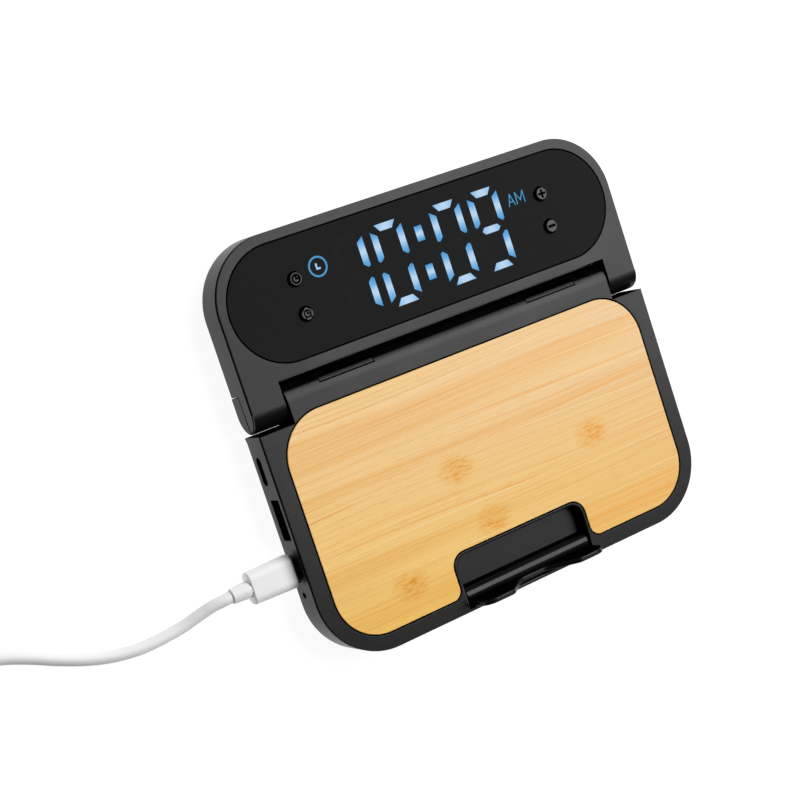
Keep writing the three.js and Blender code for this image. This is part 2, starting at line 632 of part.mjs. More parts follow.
add("usb_c_socket_upper", socket(USB_C.firstY, USB_C.z, SOCKET_C), STEEL);
add("usb_c_socket_lower", socket(USB_C.secondY, USB_C.z, SOCKET_C), STEEL);
add("usb_a_socket", socket(USB_A.y, USB_A.z, SOCKET_A), STEEL);
const lightPipe = rodX(LIGHT.y, LIGHT.z, LIGHT.r, -HALF + LIGHT.inset, -HALF + LIGHT.end, 12);
add("indicator_light_pipe", lightPipe, WHITE);

// ---------------------------------------------------------------- cable

const PLUG_Y = USB_C.secondY;
const PLUG_Z = USB_C.z;
const PLUG = { face: -HALF - SEAM, back: -HALF - 16.4, width: 11, height: 6.4, r: 3 };
const COLLAR = { end: PLUG.back - 6, r0: 2.75, r1: 2.3 };
const PLUG_SLEEVE = { width: 8.3, height: 2.4, r: 1.19, wall: 0.4, reach: 6 };

// The USB-C plug's metal sleeve, inside the lower socket, round the socket's tongue.
function plugSleeve() {
  const { width, height, r, wall, reach } = PLUG_SLEEVE;
  const innerWidth = width - 2 * wall;
  const innerHeight = height - 2 * wall;
  return cut(
    solid(wallOpening(PLUG_Y, PLUG_Z, width, height, r, PLUG.face - 1, -HALF + WALL + reach)),
    wallOpening(PLUG_Y, PLUG_Z, innerWidth, innerHeight, r - wall, -HALF + WALL, BIG),
  );
}

// The plug's body, with a pocket round the sleeve's end.
function plugBody() {
  const { width, height, r } = PLUG_SLEEVE;
  const body = wallOpening(PLUG_Y, PLUG_Z, PLUG.width, PLUG.height, PLUG.r, PLUG.back, PLUG.face);
  const pocket = [width + 2 * SEAM, height + 2 * SEAM, r + SEAM, PLUG.face - 1 - SEAM, 0];
  return cut(solid(body), wallOpening(PLUG_Y, PLUG_Z, ...pocket));
}

// A tapered sleeve between two points, fatter at its first end.
function taper(from, to, r0, r1) {
  const a = new THREE.Vector3(...from);
  const b = new THREE.Vector3(...to);
  const made = new THREE.CylinderGeometry(r1, r0, a.distanceTo(b), 12);
  made.applyQuaternion(new THREE.Quaternion().setFromUnitVectors(
    new THREE.Vector3(0, 1, 0), b.clone().sub(a).normalize()));
  return made.translate(...a.add(b).multiplyScalar(0.5).toArray());
}

function strainRelief() {
  const from = [PLUG.back - SEAM, PLUG_Y, PLUG_Z];
  return taper(from, [COLLAR.end, PLUG_Y, PLUG_Z], COLLAR.r0, COLLAR.r1);
}

add("usb_c_plug_sleeve", plugSleeve(), STEEL);
add("usb_c_plug_body", plugBody(), WHITE);
add("usb_c_strain_relief", strainRelief(), WHITE);

// The cable's way from the plug down to the table and along it to the coil's outer turn.
const LOW = CABLE_D / 2;
const cableRoute = [
  [COLLAR.end - SEAM, PLUG_Y, PLUG_Z], [-100, PLUG_Y - 0.2, 5.15], [-103.5, -33.8, 4.5], [-108, -34.9, 3.3],
  [-114, -36.4, 2.2], [-121, -37.2, LOW], [-127, -37.4, LOW], [-132, -37, LOW], [-138, -35.9, LOW],
  [-144, -34.1, LOW], [-152, -30.8, LOW], [-160, -26.9, LOW], [-168, -23.7, LOW], [-176, -21.9, LOW],
  [-184, -21.3, LOW],
];

// The cable's tail, from the coil's top layer down to the plug at its far end.
const TAIL_PLUG = { x: -193, y: 44, z: 4.4, length: 21, half: 8, halfHeight: 4.2, round: 2.5, relief: 9 };
const TAIL_SLEEVE = { half: 6, halfHeight: 2.25, wall: 0.3, end: 33, openFrom: 24 };
const cableTail = [
  [-227.3, 20, 5], [-226.2, 26, 4.3], [-223, 33.5, 4], [-216.5, 40, 4.1], [-209, 43.4, 4.3],
  [TAIL_PLUG.x - TAIL_PLUG.relief - SEAM, TAIL_PLUG.y, TAIL_PLUG.z],
];

function cableTube(points, steps) {
  const path = new THREE.CatmullRomCurve3(points.map((p) => new THREE.Vector3(...p)));
  const section = new THREE.Shape();
  const sides = 8;
  for (let i = 0; i < sides; i++) {
    const angle = ((i + 0.5) * 2 * Math.PI) / sides;
    const [x, y] = [LOW * Math.cos(angle), LOW * Math.sin(angle)];
    if (i) section.lineTo(x, y);
    else section.moveTo(x, y);
  }
  section.closePath();
  return new THREE.ExtrudeGeometry(section, { steps, extrudePath: path, bevelEnabled: false });
}

// The coil's outer shape, and the tie that holds its turns.
function coilRing() {
  const { inner, outer, height } = COIL;
  const profile = [[inner, 0], [outer, 0], [outer, height], [inner, height], [inner, 0]];
  const points = profile.map(([r, h]) => new THREE.Vector2(r, h));
  return new THREE.LatheGeometry(points, 32).rotateX(Math.PI / 2).translate(COIL.x, COIL.y, COIL.bottom);
}

function coilTie() {
  const middle = COIL.x + (COIL.inner + COIL.outer) / 2;
  const reach = (COIL.outer - COIL.inner) / 2 + TIE.play;
  const outside = reach + TIE.thickness;
  const top = COIL.bottom + COIL.height + SEAM;
  const [low, high] = [COIL.y - TIE.half, COIL.y + TIE.half];
  const band = box(middle - outside, middle + outside, low, high, 0, top + TIE.thickness);
  return cut(solid(band), box(middle - reach, middle + reach, -BIG, BIG, TIE.bottom, top));
}

add("cable_run", cableTube(cableRoute, 24), WHITE);
add("cable_coil", coilRing(), WHITE);
add("cable_tie", coilTie(), BLACK);
add("cable_tail", cableTube(cableTail, 12), WHITE);

// The USB-A plug at the far end, lying beside the coil.
function farPlugBody() {
  const { x, y, z, length, half, halfHeight, round, relief } = TAIL_PLUG;
  return join(
    bar(rectangle(y - half, y + half, z - halfHeight, z + halfHeight, round), x, x + length, 3),
    taper([x + 1, y, z], [x - relief, y, z], 3.2, COLLAR.r1),
  );
}

// The far plug's metal sleeve: a block under its contacts, and the open space over them.
function farPlugSleeve() {
  const { x, y, z, length } = TAIL_PLUG;
  const { half, halfHeight, wall, end, openFrom } = TAIL_SLEEVE;
  return cut(
    solid(bar(rectangle(y - half, y + half, z - halfHeight, z + halfHeight), x + length + SEAM, x + end)),
    bar(rectangle(y - half + wall, y + half - wall, z - 0.2, z + halfHeight - wall), x + openFrom, BIG),
  );
}

add("usb_a_plug_body", farPlugBody(), WHITE);
add("usb_a_plug_sleeve", farPlugSleeve(), STEEL);

export default clock;
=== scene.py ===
"""Looks of the folding alarm clock with its wireless charging pad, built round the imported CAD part.

Shapes are written in millimetres in the part's own frame and turned into metres when a piece is finished.
"""

from math import acos, atan2, ceil, cos, hypot, pi, radians, sin, sqrt, tan
from types import SimpleNamespace as Sizes

import bmesh
import bpy
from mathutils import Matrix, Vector


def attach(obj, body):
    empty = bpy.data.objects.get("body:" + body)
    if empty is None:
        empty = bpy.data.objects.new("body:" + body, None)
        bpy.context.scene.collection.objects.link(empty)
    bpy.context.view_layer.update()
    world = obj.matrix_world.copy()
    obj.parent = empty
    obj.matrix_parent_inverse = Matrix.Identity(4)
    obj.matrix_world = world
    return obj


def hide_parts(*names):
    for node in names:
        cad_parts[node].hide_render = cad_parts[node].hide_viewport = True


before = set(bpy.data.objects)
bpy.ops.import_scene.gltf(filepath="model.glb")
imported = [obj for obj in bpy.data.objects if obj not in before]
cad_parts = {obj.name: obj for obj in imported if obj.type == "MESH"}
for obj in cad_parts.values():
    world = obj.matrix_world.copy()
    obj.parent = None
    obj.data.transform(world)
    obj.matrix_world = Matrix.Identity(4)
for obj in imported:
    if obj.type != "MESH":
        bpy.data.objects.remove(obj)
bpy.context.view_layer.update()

MM = 0.001
BIG = 200  # past the end of every piece
PAST = 1  # how far a cutting tool reaches past the surface it cuts
OVERLAP = 0.1  # how far joined solids reach into each other
HAIR = 0.001  # keeps the two rounds of a full end from meeting
TIGHT = 0.01  # tolerances of tests on where a point lies
CLOSE = 0.05
LOOSE = 0.1
FACING = 0.9  # a face looks along an axis if that part of its normal is more than this
LEANING = 0.7  # the same where the face may be slanted

# ---- dimensions shared with the CAD part

HALF = 75
TOP_Y = 67.5
END_Y = -67.5
BACK = 0.8
FACE = 12.8
MIDDLE = 6.8
HINGE_Y = TOP_Y - 51.2
HINGE_R = 6
RECESS_Y = TOP_Y - 44
SHOULDER_Y = TOP_Y - 58
EAR_INNER = 63.5
EAR_SPLIT_Y = TOP_Y - 44.9
BARREL_HALF = 62.6
BARREL_WALL = 1.5
WALL = 1.8
FLOOR_TOP = BACK + 1.3
RIM = 0.4
GROOVE = 0.95
SEAM = 0.3
BED_PLAY = 0.2
WALL_TOP = FACE - RIM - GROOVE
DISPLAY_SKIRT = FACE - 2.8  # lower ends of the covers' inner rims
BASE_SKIRT = FACE - 2.6
BASE_SKIRT_END = HINGE_Y - 3.3
LIP = Sizes(end=HINGE_Y + 3, gap=0.4)
DISPLAY_CORNER = 21
BASE_CORNER = 22

LENS = Sizes(half=71.9, top=TOP_Y - 3.5, bottom=TOP_Y - 40.4, thickness=1.5, seat=2)
BUTTON = Sizes(x=47.4, upper=TOP_Y - 16.5, lower=TOP_Y - 27.65, r=2.12, hole=2.5, top=FACE + 1.2,
               flange_r=3.1, flange=1, stem_r=1, stem_end=8.6)
BAMBOO = Sizes(half=69.4, top=TOP_Y - 55.9, bottom=TOP_Y - 129.7, corner=15.5, thickness=1.4)
NOTCH = Sizes(half=26.6, top=TOP_Y - 115.7, corner=5, fillet=3.5)
LEDGE = Sizes(half=24.5, y=TOP_Y - 130.1, z=FACE - 3, r=2.3, top=FACE + 9.5,
              inner=TOP_Y - 131.6, outer=TOP_Y - 133.2, corner=4.5)
SCOOP = Sizes(top=13.3, bottom=5.3, z=FACE + 0.8, top_corner=3, bottom_corner=4)
POCKET = Sizes(half=25.3, top=TOP_Y - 116.9, step=TOP_Y - 126.8, end=TOP_Y - 133.9, depth=4.4,
               groove=5.6, corner=4)
TUB = Sizes(half=28, bottom=FACE - 6.6, wall=1.5, end_wall=0.6, step_wall=0.4, floor=1)
STRIP = Sizes(near=30.1, far=50, low=TOP_Y - 48.6, high=TOP_Y - 46.8, bed=8, bottom=9)
PIN_R = 0.8
SHAFT_HOLE_R = 2.3
USB_C = Sizes(width=9.2, height=3.1, z=FACE - 7.55, upper=TOP_Y - 69, lower=TOP_Y - 100.8)
USB_A = Sizes(width=13.2, height=5.6, z=FACE - 5.6, y=TOP_Y - 84.9, corner=0.4)
LIGHT = Sizes(y=TOP_Y - 109.6, z=FACE - 7.3, r=0.7)
SCREW = Sizes(r=0.85, head_r=1.7, z=BACK + 0.3, head=1.1, well=BACK + 1.7, hole_end=4,
              length=6.5, ear_length=7)
SOUND_HOLE = Sizes(x=-30, y=TOP_Y - 22, r=0.6, reach=3)
FOOT_POCKET = 0.5
DISPLAY_FOOT_R = 3.5
BASE_FOOT_R = 4.5


def pair(x, y):
    """The same place on the left and on the right."""
    return [(-x, y), (x, y)]


EAR_SCREWS = pair(69.25, HINGE_Y + 4.2)
DISPLAY_SCREWS = pair(69, RECESS_Y + 4.5)
DISPLAY_FEET = pair(52, TOP_Y - 11.5)
BASE_SCREWS = pair(62.5, 5.1) + pair(64, -45)
BASE_FEET = pair(60, -8) + pair(56, END_Y + 15)
SIDES = [("left", -1), ("right", 1)]
BUTTONS = [("button_clock", -BUTTON.x, BUTTON.upper), ("button_alarm", -BUTTON.x, BUTTON.lower),
           ("button_plus", BUTTON.x, BUTTON.upper), ("button_minus", BUTTON.x, BUTTON.lower)]

# ---- details that only the fine pieces have

BACK_EDGE = 0.7  # roundings of edges
MOUTH_EDGE = 0.45
OUTER_EDGE = 0.3
BAMBOO_EDGE = 0.25
FACE_EDGE = 0.2
SOCKET_EDGE = 0.15
TIE_EDGE = 0.12
FINE_EDGE = 0.1
STRIP_EDGE = 0.08
GROOVE_DEPTH = WALL + SEAM
EAR_GROOVE = 0.35  # the groove's width at the very end of the ear, where it has narrowed
EAR_GROOVE_LOW = MIDDLE + 0.5
STRIP_TOP = Sizes(level=0.25, lean=1.1, drop=0.52, sunk=0.05)
KNUCKLE_FLAT = Sizes(tilt=radians(18), depth=0.07)
CAP_EDGE = [(0, 0.2), (0.03, 0.1), (0.08, 0.04), (0.14, 0.02)]  # (inwards, down) round a button's top
DISC = Sizes(r=1.95, thickness=0.2, edge=(0.06, 0.04))
SCREW_CROWN = [(0.5, 0), (0.15, 0.12), (0, 0.4)]  # (inwards, up) round a screw's head
SCREW_SLOT = Sizes(half_width=0.14, reach=1, depth=0.7)
FOOT_HOLLOW = 0.02
FOOT_EDGE = [(1.4, 0), (0.5, 0), (0.15, 0.1), (0, 0.35)]  # (inwards, up) round a foot's lower edge


def placed(name, data):
    """A new object in the scene."""
    made = bpy.data.objects.new(name, data)
    bpy.context.scene.collection.objects.link(made)
    return made


# ---- camera

CAMERA_PLACE = (-0.2755, 0.0669, 0.4968)
CAMERA_TURN = (3.0897, -27.8297, -20.6584)  # degrees
FOCAL_LENGTH = 78.46
SENSOR_WIDTH = 36

camera = placed("camera", bpy.data.cameras.new("camera"))
camera.location = CAMERA_PLACE
camera.rotation_euler = [radians(angle) for angle in CAMERA_TURN]
camera.data.lens = FOCAL_LENGTH
camera.data.sensor_width = SENSOR_WIDTH
bpy.context.scene.camera = camera

# ---- outlines

CHORD_ERROR = 0.012  # how far a facet may lie inside the round it stands for


def arc_steps(radius, sweep):
    step = 2 * acos(1 - min(CHORD_ERROR / radius, 0.5))
    return max(2, ceil(abs(sweep) / step))


def outline(*corners):
    """A closed outline; a corner is (x, y), or (x, y, radius) where it is rounded by an arc."""
    points = []
    for i, (x, y, *rounding) in enumerate(corners):
        corner = Vector((x, y))
        radius = rounding[0] if rounding else 0
        if radius <= 0:
            points.append((x, y))
            continue
        back = (Vector(corners[i - 1][:2]) - corner).normalized()
        ahead = (Vector(corners[(i + 1) % len(corners)][:2]) - corner).normalized()
        half = acos(back.dot(ahead)) / 2
        centre = corner + (back + ahead).normalized() * radius / sin(half)
        start = corner + back * radius / tan(half) - centre
        end = corner + ahead * radius / tan(half) - centre
        sweep = start.angle_signed(end)  # clockwise is positive
        steps = arc_steps(radius, sweep)
        first = atan2(start.y, start.x)
        for k in range(steps + 1):
            angle = first - sweep * k / steps
            points.append((centre.x + radius * cos(angle), centre.y + radius * sin(angle)))
    return points


def rectangle(x0, x1, y0, y1, r=0):
    return outline((x0, y0, r), (x1, y0, r), (x1, y1, r), (x0, y1, r))


def circle(x, y, r, count):
    angles = [2 * pi * i / count for i in range(count)]
    return [(x + r * cos(angle), y + r * sin(angle)) for angle in angles]


def sides_of(r):
    """How many sides a circle of that radius needs."""
    return 4 * arc_steps(r, pi / 2)


# ---- solids

PLACES = {
    "X": lambda a, b, h: (h, a, b),
    "Y": lambda a, b, h: (a, h, b),
    "Z": lambda a, b, h: (a, b, h),
}


def object_of(bm):
    bmesh.ops.recalc_face_normals(bm, faces=bm.faces)
    mesh = bpy.data.meshes.new("scratch")
    bm.to_mesh(mesh)
    bm.free()
    return placed("scratch", mesh)


def loft(rings):
    """A closed solid through rings with the same count of points."""
    bm = bmesh.new()
    rows = [[bm.verts.new(point) for point in ring] for ring in rings]
    for low, high in zip(rows, rows[1:]):
        for i in range(len(low)):
            j = (i + 1) % len(low)
            bm.faces.new((low[i], low[j], high[j], high[i]))
    bm.faces.new(rows[0][::-1])
    bm.faces.new(rows[-1])
    return object_of(bm)


def prism(points, low, high, axis="Z"):
    """An outline between two positions along an axis."""
    place = PLACES[axis]
    return loft([[place(a, b, h) for a, b in points] for h in (low, high)])


def block(x0, x1, y0, y1, z0, z1):
    return prism(rectangle(x0, x1, y0, y1), z0, z1)


def slab(y0=-BIG, y1=BIG, z0=-BIG, z1=BIG):
    """A block wider than the whole object."""
    return block(-BIG, BIG, y0, y1, z0, z1)


def rod(a, b, r, low, high, axis="Z"):
    return prism(circle(a, b, r, sides_of(r)), low, high, axis)


def hinge_rod(r, low=-BIG, high=BIG):
    """A rod round the hinge axis."""
    return rod(HINGE_Y, MIDDLE, r, low, high, "X")


def ear_rods(r, inner, outer):
    return both_sides(lambda side: hinge_rod(r, *span(side, inner, outer)))


def turned(profile, x, y):
    """A solid turned about a vertical line, from (radius, height) points that start and end on it."""
    bm = bmesh.new()
    sides = sides_of(max(r for r, h in profile))
    rows = []
    for r, h in profile:
        if r == 0:
            rows.append([bm.verts.new((x, y, h))] * sides)
        else:
            rows.append([bm.verts.new((a, b, h)) for a, b in circle(x, y, r, sides)])
    for low, high in zip(rows, rows[1:]):
        for i in range(sides):
            j = (i + 1) % sides
            corners = dict.fromkeys((low[i], low[j], high[j], high[i]))
            if len(corners) > 2:
                bm.faces.new(tuple(corners))
    return object_of(bm)


def combined(body, tools, operation):
    for tool in tools:
        step = body.modifiers.new(operation, "BOOLEAN")
        step.operation = operation
        step.solver = "MANIFOLD"
        step.object = tool
    bpy.context.view_layer.update()
    graph = bpy.context.evaluated_depsgraph_get()
    body_mesh = bpy.data.meshes.new_from_object(body.evaluated_get(graph))
    body.modifiers.clear()
    body.data = body_mesh
    for tool in tools:
        bpy.data.objects.remove(tool)
    return body


def join(body, *tools):
    return combined(body, tools, "UNION")


def cut(body, *tools):
    return combined(body, tools, "DIFFERENCE")


def both_sides(make):
    return [make(side) for _, side in SIDES]


def span(side, a, b):
    return (a, b) if side > 0 else (-b, -a)


# ---- finishing a piece

EDGE_ANGLE = radians(32)  # faces that meet at more than this have a sharp edge between them
FLAT_ANGLE = radians(0.2)
MERGE = 0.003


def rounded(piece, width, where=lambda p: True, sharpest=EDGE_ANGLE):
    """Rounds the piece's sharp edges whose middle satisfies where."""
    bm = bmesh.new()
    bm.from_mesh(piece.data)
    bmesh.ops.remove_doubles(bm, verts=bm.verts, dist=MERGE)
    bmesh.ops.dissolve_limit(bm, angle_limit=FLAT_ANGLE, verts=bm.verts, edges=bm.edges)
    edges = [e for e in bm.edges if len(e.link_faces) == 2 and e.calc_face_angle(0) > sharpest
             and where((e.verts[0].co + e.verts[1].co) / 2)]
    bmesh.ops.bevel(bm, geom=edges, offset=width, offset_type="OFFSET", segments=3, profile=0.5,
                    affect="EDGES", clamp_overlap=False, loop_slide=True)
    bm.to_mesh(piece.data)
    bm.free()
    return piece


def finished(piece, name, body, look, replaces=(), inner=None, second_look="black_plastic"):
    """Names a piece, turns it into metres, gives it its body and its look, and hides the CAD nodes it stands
    for.

    inner is a test: the faces whose middle and normal satisfy it get the other look, which by default is the
    matt black without sheen that paints shade into gaps, grooves and hollows.
    """
    piece.name = name
    piece.data.name = name
    for vertex in piece.data.vertices:
        vertex.co *= MM
    piece.data.polygons.foreach_set("use_smooth", [True] * len(piece.data.polygons))
    piece.data.set_sharp_from_angle(angle=EDGE_ANGLE)
    weighted = piece.modifiers.new("normals", "WEIGHTED_NORMAL")
    weighted.keep_sharp = True
    piece.data.materials.clear()
    piece.data.materials.append(LOOKS[look].material)
    if inner:
        piece.data.materials.append(LOOKS[second_look].material)
        for face in piece.data.polygons:
            face.material_index = int(inner(face.center / MM, face.normal))
    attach(piece, body)
    if replaces:
        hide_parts(*replaces)
    return piece


def stand_in(piece, node, body, look, *inner):
    """Finishes the piece that stands for a node, and is named after it."""
    finished(piece, f"{node}_fine", body, look, [node], *inner)


# ---- materials

NOISE_LOW, NOISE_HIGH = 0.3, 0.7  # nearly all values of a noise texture lie between these


def srgb(red, green, blue):
    """A colour from screen values of 0 to 255 to the linear ones that shaders take."""
    return tuple((c / 255 / 12.92) if c <= 10 else ((c / 255 + 0.055) / 1.055) ** 2.4
                 for c in (red, green, blue)) + (1,)


def grey(tone):
    return srgb(tone, tone, tone)


BLACK = grey(0)


class Look:
    """A material, with short ways to add texture nodes in millimetres of the piece's own frame."""

    def __init__(self, name, **sockets):
        self.material = bpy.data.materials.new(name)
        self.material.use_nodes = True
        self.tree = self.material.node_tree
        self.shader = self.tree.nodes["Principled BSDF"]
        for socket, value in sockets.items():
            self.shader.inputs[socket.replace("_", " ")].default_value = value

    def node(self, kind, inputs, output=0, **settings):
        made = self.tree.nodes.new("ShaderNode" + kind)
        for key, value in settings.items():
            setattr(made, key, value)
        for key, value in inputs.items():
            if isinstance(value, bpy.types.NodeSocket):
                self.tree.links.new(value, made.inputs[key])
            else:
                made.inputs[key].default_value = value
        return made.outputs[output]

    def place(self, scale=(1, 1, 1), shift=(0, 0, 0)):
        here = self.node("TexCoord", {}, "Object")
        size = [s / MM for s in scale]
        return self.node("Mapping", {"Vector": here, "Scale": size, "Location": shift})

    def component(self, axis, scale=(1, 1, 1), shift=(0, 0, 0)):
        """One coordinate (0 to 2) of a place."""
        return self.node("SeparateXYZ", {0: self.place(scale, shift)}, axis)

    def noise(self, scale, detail=2, shift=0, rough=0.5):
        """Noise with that many features per millimetre (along each axis); shift picks a part of it."""
        scales = scale if isinstance(scale, tuple) else (scale, scale, scale)
        where = self.place(scales, (shift, shift * 1.7, shift * 0.6))
        inputs = {"Vector": where, "Scale": 1, "Detail": detail, "Roughness": rough}
        return self.node("TexNoise", inputs)

    def ramp(self, factor, *stops):
        """Maps a value through stops (position, grey value or colour)."""
        made = self.tree.nodes.new("ShaderNodeValToRGB")
        self.tree.links.new(factor, made.inputs[0])
        elements = made.color_ramp.elements
        for index, (position, value) in enumerate(stops):
            element = elements[index] if index < 2 else elements.new(position)
            element.position = position
            element.color = value if hasattr(value, "__len__") else (value, value, value, 1)
        return made.outputs[0]

    def spread(self, noise, low=0.0, high=1.0):
        """Stretches a noise over the range between two values."""
        return self.ramp(noise, (NOISE_LOW, low), (NOISE_HIGH, high))

    def mix(self, factor, a, b):
        return self.node("Mix", {0: factor, 6: a, 7: b}, 2, data_type="RGBA")

    def maths(self, operation, a, b=0.0):
        return self.node("Math", {0: a, 1: b}, operation=operation)

    def times(self, a, b):
        return self.maths("MULTIPLY", a, b)

    def plus(self, a, b):
        return self.maths("ADD", a, b)

    def drive(self, socket, value):
        self.tree.links.new(value, self.shader.inputs[socket])

    def colour(self, value):
        self.drive("Base Color", value)

    def roughness(self, noise, least, most):
        self.drive("Roughness", self.spread(noise, least, most))

    def bump(self, height, strength, depth):
        """Relief of that depth in millimetres."""
        inputs = {"Height": height, "Strength": strength, "Distance": depth * MM}
        self.drive("Normal", self.node("Bump", inputs))


def plastic(name, dark, light, gloss, spark=0.05, specular=0.4):
    """Moulded plastic: fine spark texture, faint cloudiness, slightly uneven sheen."""
    look = Look(name, Specular_IOR_Level=specular)
    cloud = look.noise(0.05, 3)
    grain = look.noise(3.2, shift=7)
    tone = look.mix(0.35, look.spread(cloud), look.spread(grain))
    look.colour(look.mix(tone, dark, light))
    look.roughness(look.mix(0.5, cloud, grain), gloss - 0.05, gloss + 0.07)
    look.bump(grain, 0.5, spark)
    return look


def shell_plastic(name):
    """The satin black plastic of the covers and the housings."""
    return plastic(name, srgb(10, 10, 11), srgb(15, 15, 16), 0.34, specular=0.23)


def lens_look():
    look = Look("lens_acrylic", Specular_IOR_Level=0.018)
    look.colour(look.mix(look.noise(0.03), srgb(17, 17, 18), srgb(21, 21, 22)))
    look.roughness(look.noise(0.6, 4, shift=3), 0.12, 0.2)
    return look


BAMBOO_KNOTS = [(-14.7, TOP_Y - 90.4), (38.4, TOP_Y - 97), (-42.8, TOP_Y - 119), (-7, TOP_Y - 110.3)]
KNOT_SCALE = (0.13, 0.18, 0)  # one over a knot's half length and half width
BAMBOO_PAINTED_LIGHT_TONES = [  # painted light: paler at the far side as a painted sheen, and lighter at the left against the key light from the right; from the far side to the near side: at the left, and at the right
    (srgb(255, 214, 154), srgb(255, 211, 128), srgb(255, 209, 86)),
    (srgb(227, 197, 158), srgb(228, 188, 126), srgb(230, 172, 84)),
]
GOLD = srgb(232, 164, 60)
GRAIN_LINES = [
    # spacing, seed, thickness, strength, wander, tone beside the line, colour
    (3.2, 11, 0.36, 1, 12, 0.2, srgb(230, 146, 0)),
    (1.7, 23, 0.3, 1, 7, 0, srgb(228, 150, 0)),
    (0.8, 35, 0.2, 0.75, 4, 0, srgb(228, 156, 8)),
    (2.2, 57, 0.3, 0.85, 8, 0, srgb(255, 234, 188)),
]


def bamboo_tone_with_painted_light(look):
    """The plate's base colour, with painted light: yellower at the near side, paler at the far side as a
    painted sheen, and painted lighter at the left against the key light from the right.
    """
    across = look.ramp(look.component(0, (0.5 / BAMBOO.half,) * 3, (0.5, 0, 0)), (0, 0), (1, 1))
    near = look.component(1, (1, -1 / 80, 1))
    left, right = [look.ramp(near, *zip((0, 0.5, 0.95), tones)) for tones in BAMBOO_PAINTED_LIGHT_TONES]
    patches = look.noise((0.01, 0.09, 0.09), shift=41)
    return look.mix(look.ramp(patches, (0.35, 0), (0.65, 0.3)), look.mix(across, left, right),
                    srgb(240, 198, 122))


def grain_lines(look, spacing, seed, thickness, strength, wander, beside):
    """Thin lines along X, each of its own strength and broken up along its length.

    beside is how strongly each line's near side is toned, fading out over half the spacing or so.
    """
    drift = look.times(look.noise((0.006, 0.06, 0.1), 1, seed), wander / spacing)
    count = look.plus(look.times(look.component(1), 1 / spacing), drift)
    mark = look.ramp(look.maths("FRACT", count), (0, strength), (thickness / spacing, beside), (0.6, 0))
    number = look.plus(look.maths("FLOOR", count), seed)
    own = look.node("TexWhiteNoise", {"W": number}, noise_dimensions="1D")
    broken_up = look.ramp(look.noise((0.02, 0.9, 0.1), shift=seed + 3), (0.35, 0.15), (0.6, 1))
    return look.times(look.times(mark, look.ramp(own, (0.2, 0.05), (0.9, 1))), broken_up)


def with_knot(look, base, x, y, broken):
    """Adds a knot: a faint golden patch with broken dark marks in it."""
    shift = (-KNOT_SCALE[0] * x, -KNOT_SCALE[1] * y, 0)
    away = look.node("VectorMath", {0: look.place(KNOT_SCALE, shift)}, "Value", operation="LENGTH")
    base = look.mix(look.ramp(away, (0.2, 0.4), (1.3, 0)), base, GOLD)
    inside = look.ramp(away, (0.3, 1), (1, 0))
    mark = look.times(inside, look.ramp(broken, (0.48, 0), (0.57, 0.9)))
    return look.mix(mark, base, srgb(226, 150, 30))


def bamboo_look():
    """Bamboo: pale, with thin golden lines along X, fine fibres, a few knots and a painted highlight along
    its rounded top edge.
    """
    look = Look("bamboo", Specular_IOR_Level=0.25)
    bands = look.noise((0.004, 0.13, 0.1), shift=4)
    fibres = look.noise((0.04, 4.5, 5), 3, shift=21)
    flecks = look.noise((0.2, 3.6, 4), shift=31)
    base = look.mix(look.ramp(bands, (0.53, 0), (0.62, 0.3)), bamboo_tone_with_painted_light(look), GOLD)
    for *line, colour in GRAIN_LINES:
        base = look.mix(grain_lines(look, *line), base, colour)
    base = look.mix(look.ramp(fibres, (0.35, 0.14), (0.6, 0)), base, srgb(214, 156, 66))
    base = look.mix(look.ramp(flecks, (0.6, 0), (0.7, 0.28)), base, srgb(216, 146, 36))
    broken = look.noise((0.3, 1.7, 2), 3, shift=51, rough=0.6)
    for x, y in BAMBOO_KNOTS:
        base = with_knot(look, base, x, y, broken)
    # Painted highlight: the rounded top edge is painted a lighter yellow, strongest where the rounding turns
    # down and fading out towards the flat top.
    edge_highlight_height = look.component(2, (1, 1, 1 / BAMBOO_EDGE), (0, 0, 1 - FACE / BAMBOO_EDGE))
    look.colour(look.mix(look.ramp(edge_highlight_height, (0, 0.9), (0.95, 0)), base, srgb(255, 232, 160)))
    look.roughness(fibres, 0.5, 0.62)
    look.bump(fibres, 0.35, 0.03)
    return look


def bamboo_edge_look():
    """The plate's sides, browned by the laser that cut it out."""
    look = Look("bamboo_edge", Specular_IOR_Level=0.1, Roughness=0.8)
    look.colour(look.mix(look.noise((0.4, 0.4, 6), shift=9), srgb(34, 20, 12), srgb(70, 44, 24)))
    return look


def rubber_look(name, tone, gloss):
    look = Look(name, Specular_IOR_Level=0.3)
    grain = look.noise(2, 3)
    look.colour(look.mix(grain, grey(tone), grey(tone + 14)))
    look.roughness(grain, gloss - 0.05, gloss + 0.08)
    look.bump(grain, 0.4, 0.05)
    return look


def white_look(name, tone, gloss):
    look = Look(name, Specular_IOR_Level=0.35)
    cloud = look.noise(0.08, 3)
    grain = look.noise(2.5, shift=5)
    look.colour(look.mix(cloud, grey(tone), grey(tone + 8)))
    look.roughness(look.mix(0.5, cloud, grain), gloss - 0.05, gloss + 0.08)
    look.bump(grain, 0.3, 0.02)
    return look


def metal_look(name, dark, light, gloss):
    """Metal with fine drawing lines along X."""
    look = Look(name, Metallic=1.0)
    lines = look.noise((0.2, 4, 4), 3)
    look.colour(look.mix(lines, dark, light))
    look.roughness(lines, gloss - 0.08, gloss + 0.12)
    look.bump(lines, 0.3, 0.01)
    return look


def board_look():
    look = Look("board", Specular_IOR_Level=0.5)
    tracks = look.noise(0.5, 1)
    look.colour(look.mix(look.ramp(tracks, (0.48, 0), (0.5, 1)), srgb(22, 74, 44), srgb(34, 98, 60)))
    look.roughness(tracks, 0.35, 0.5)
    return look


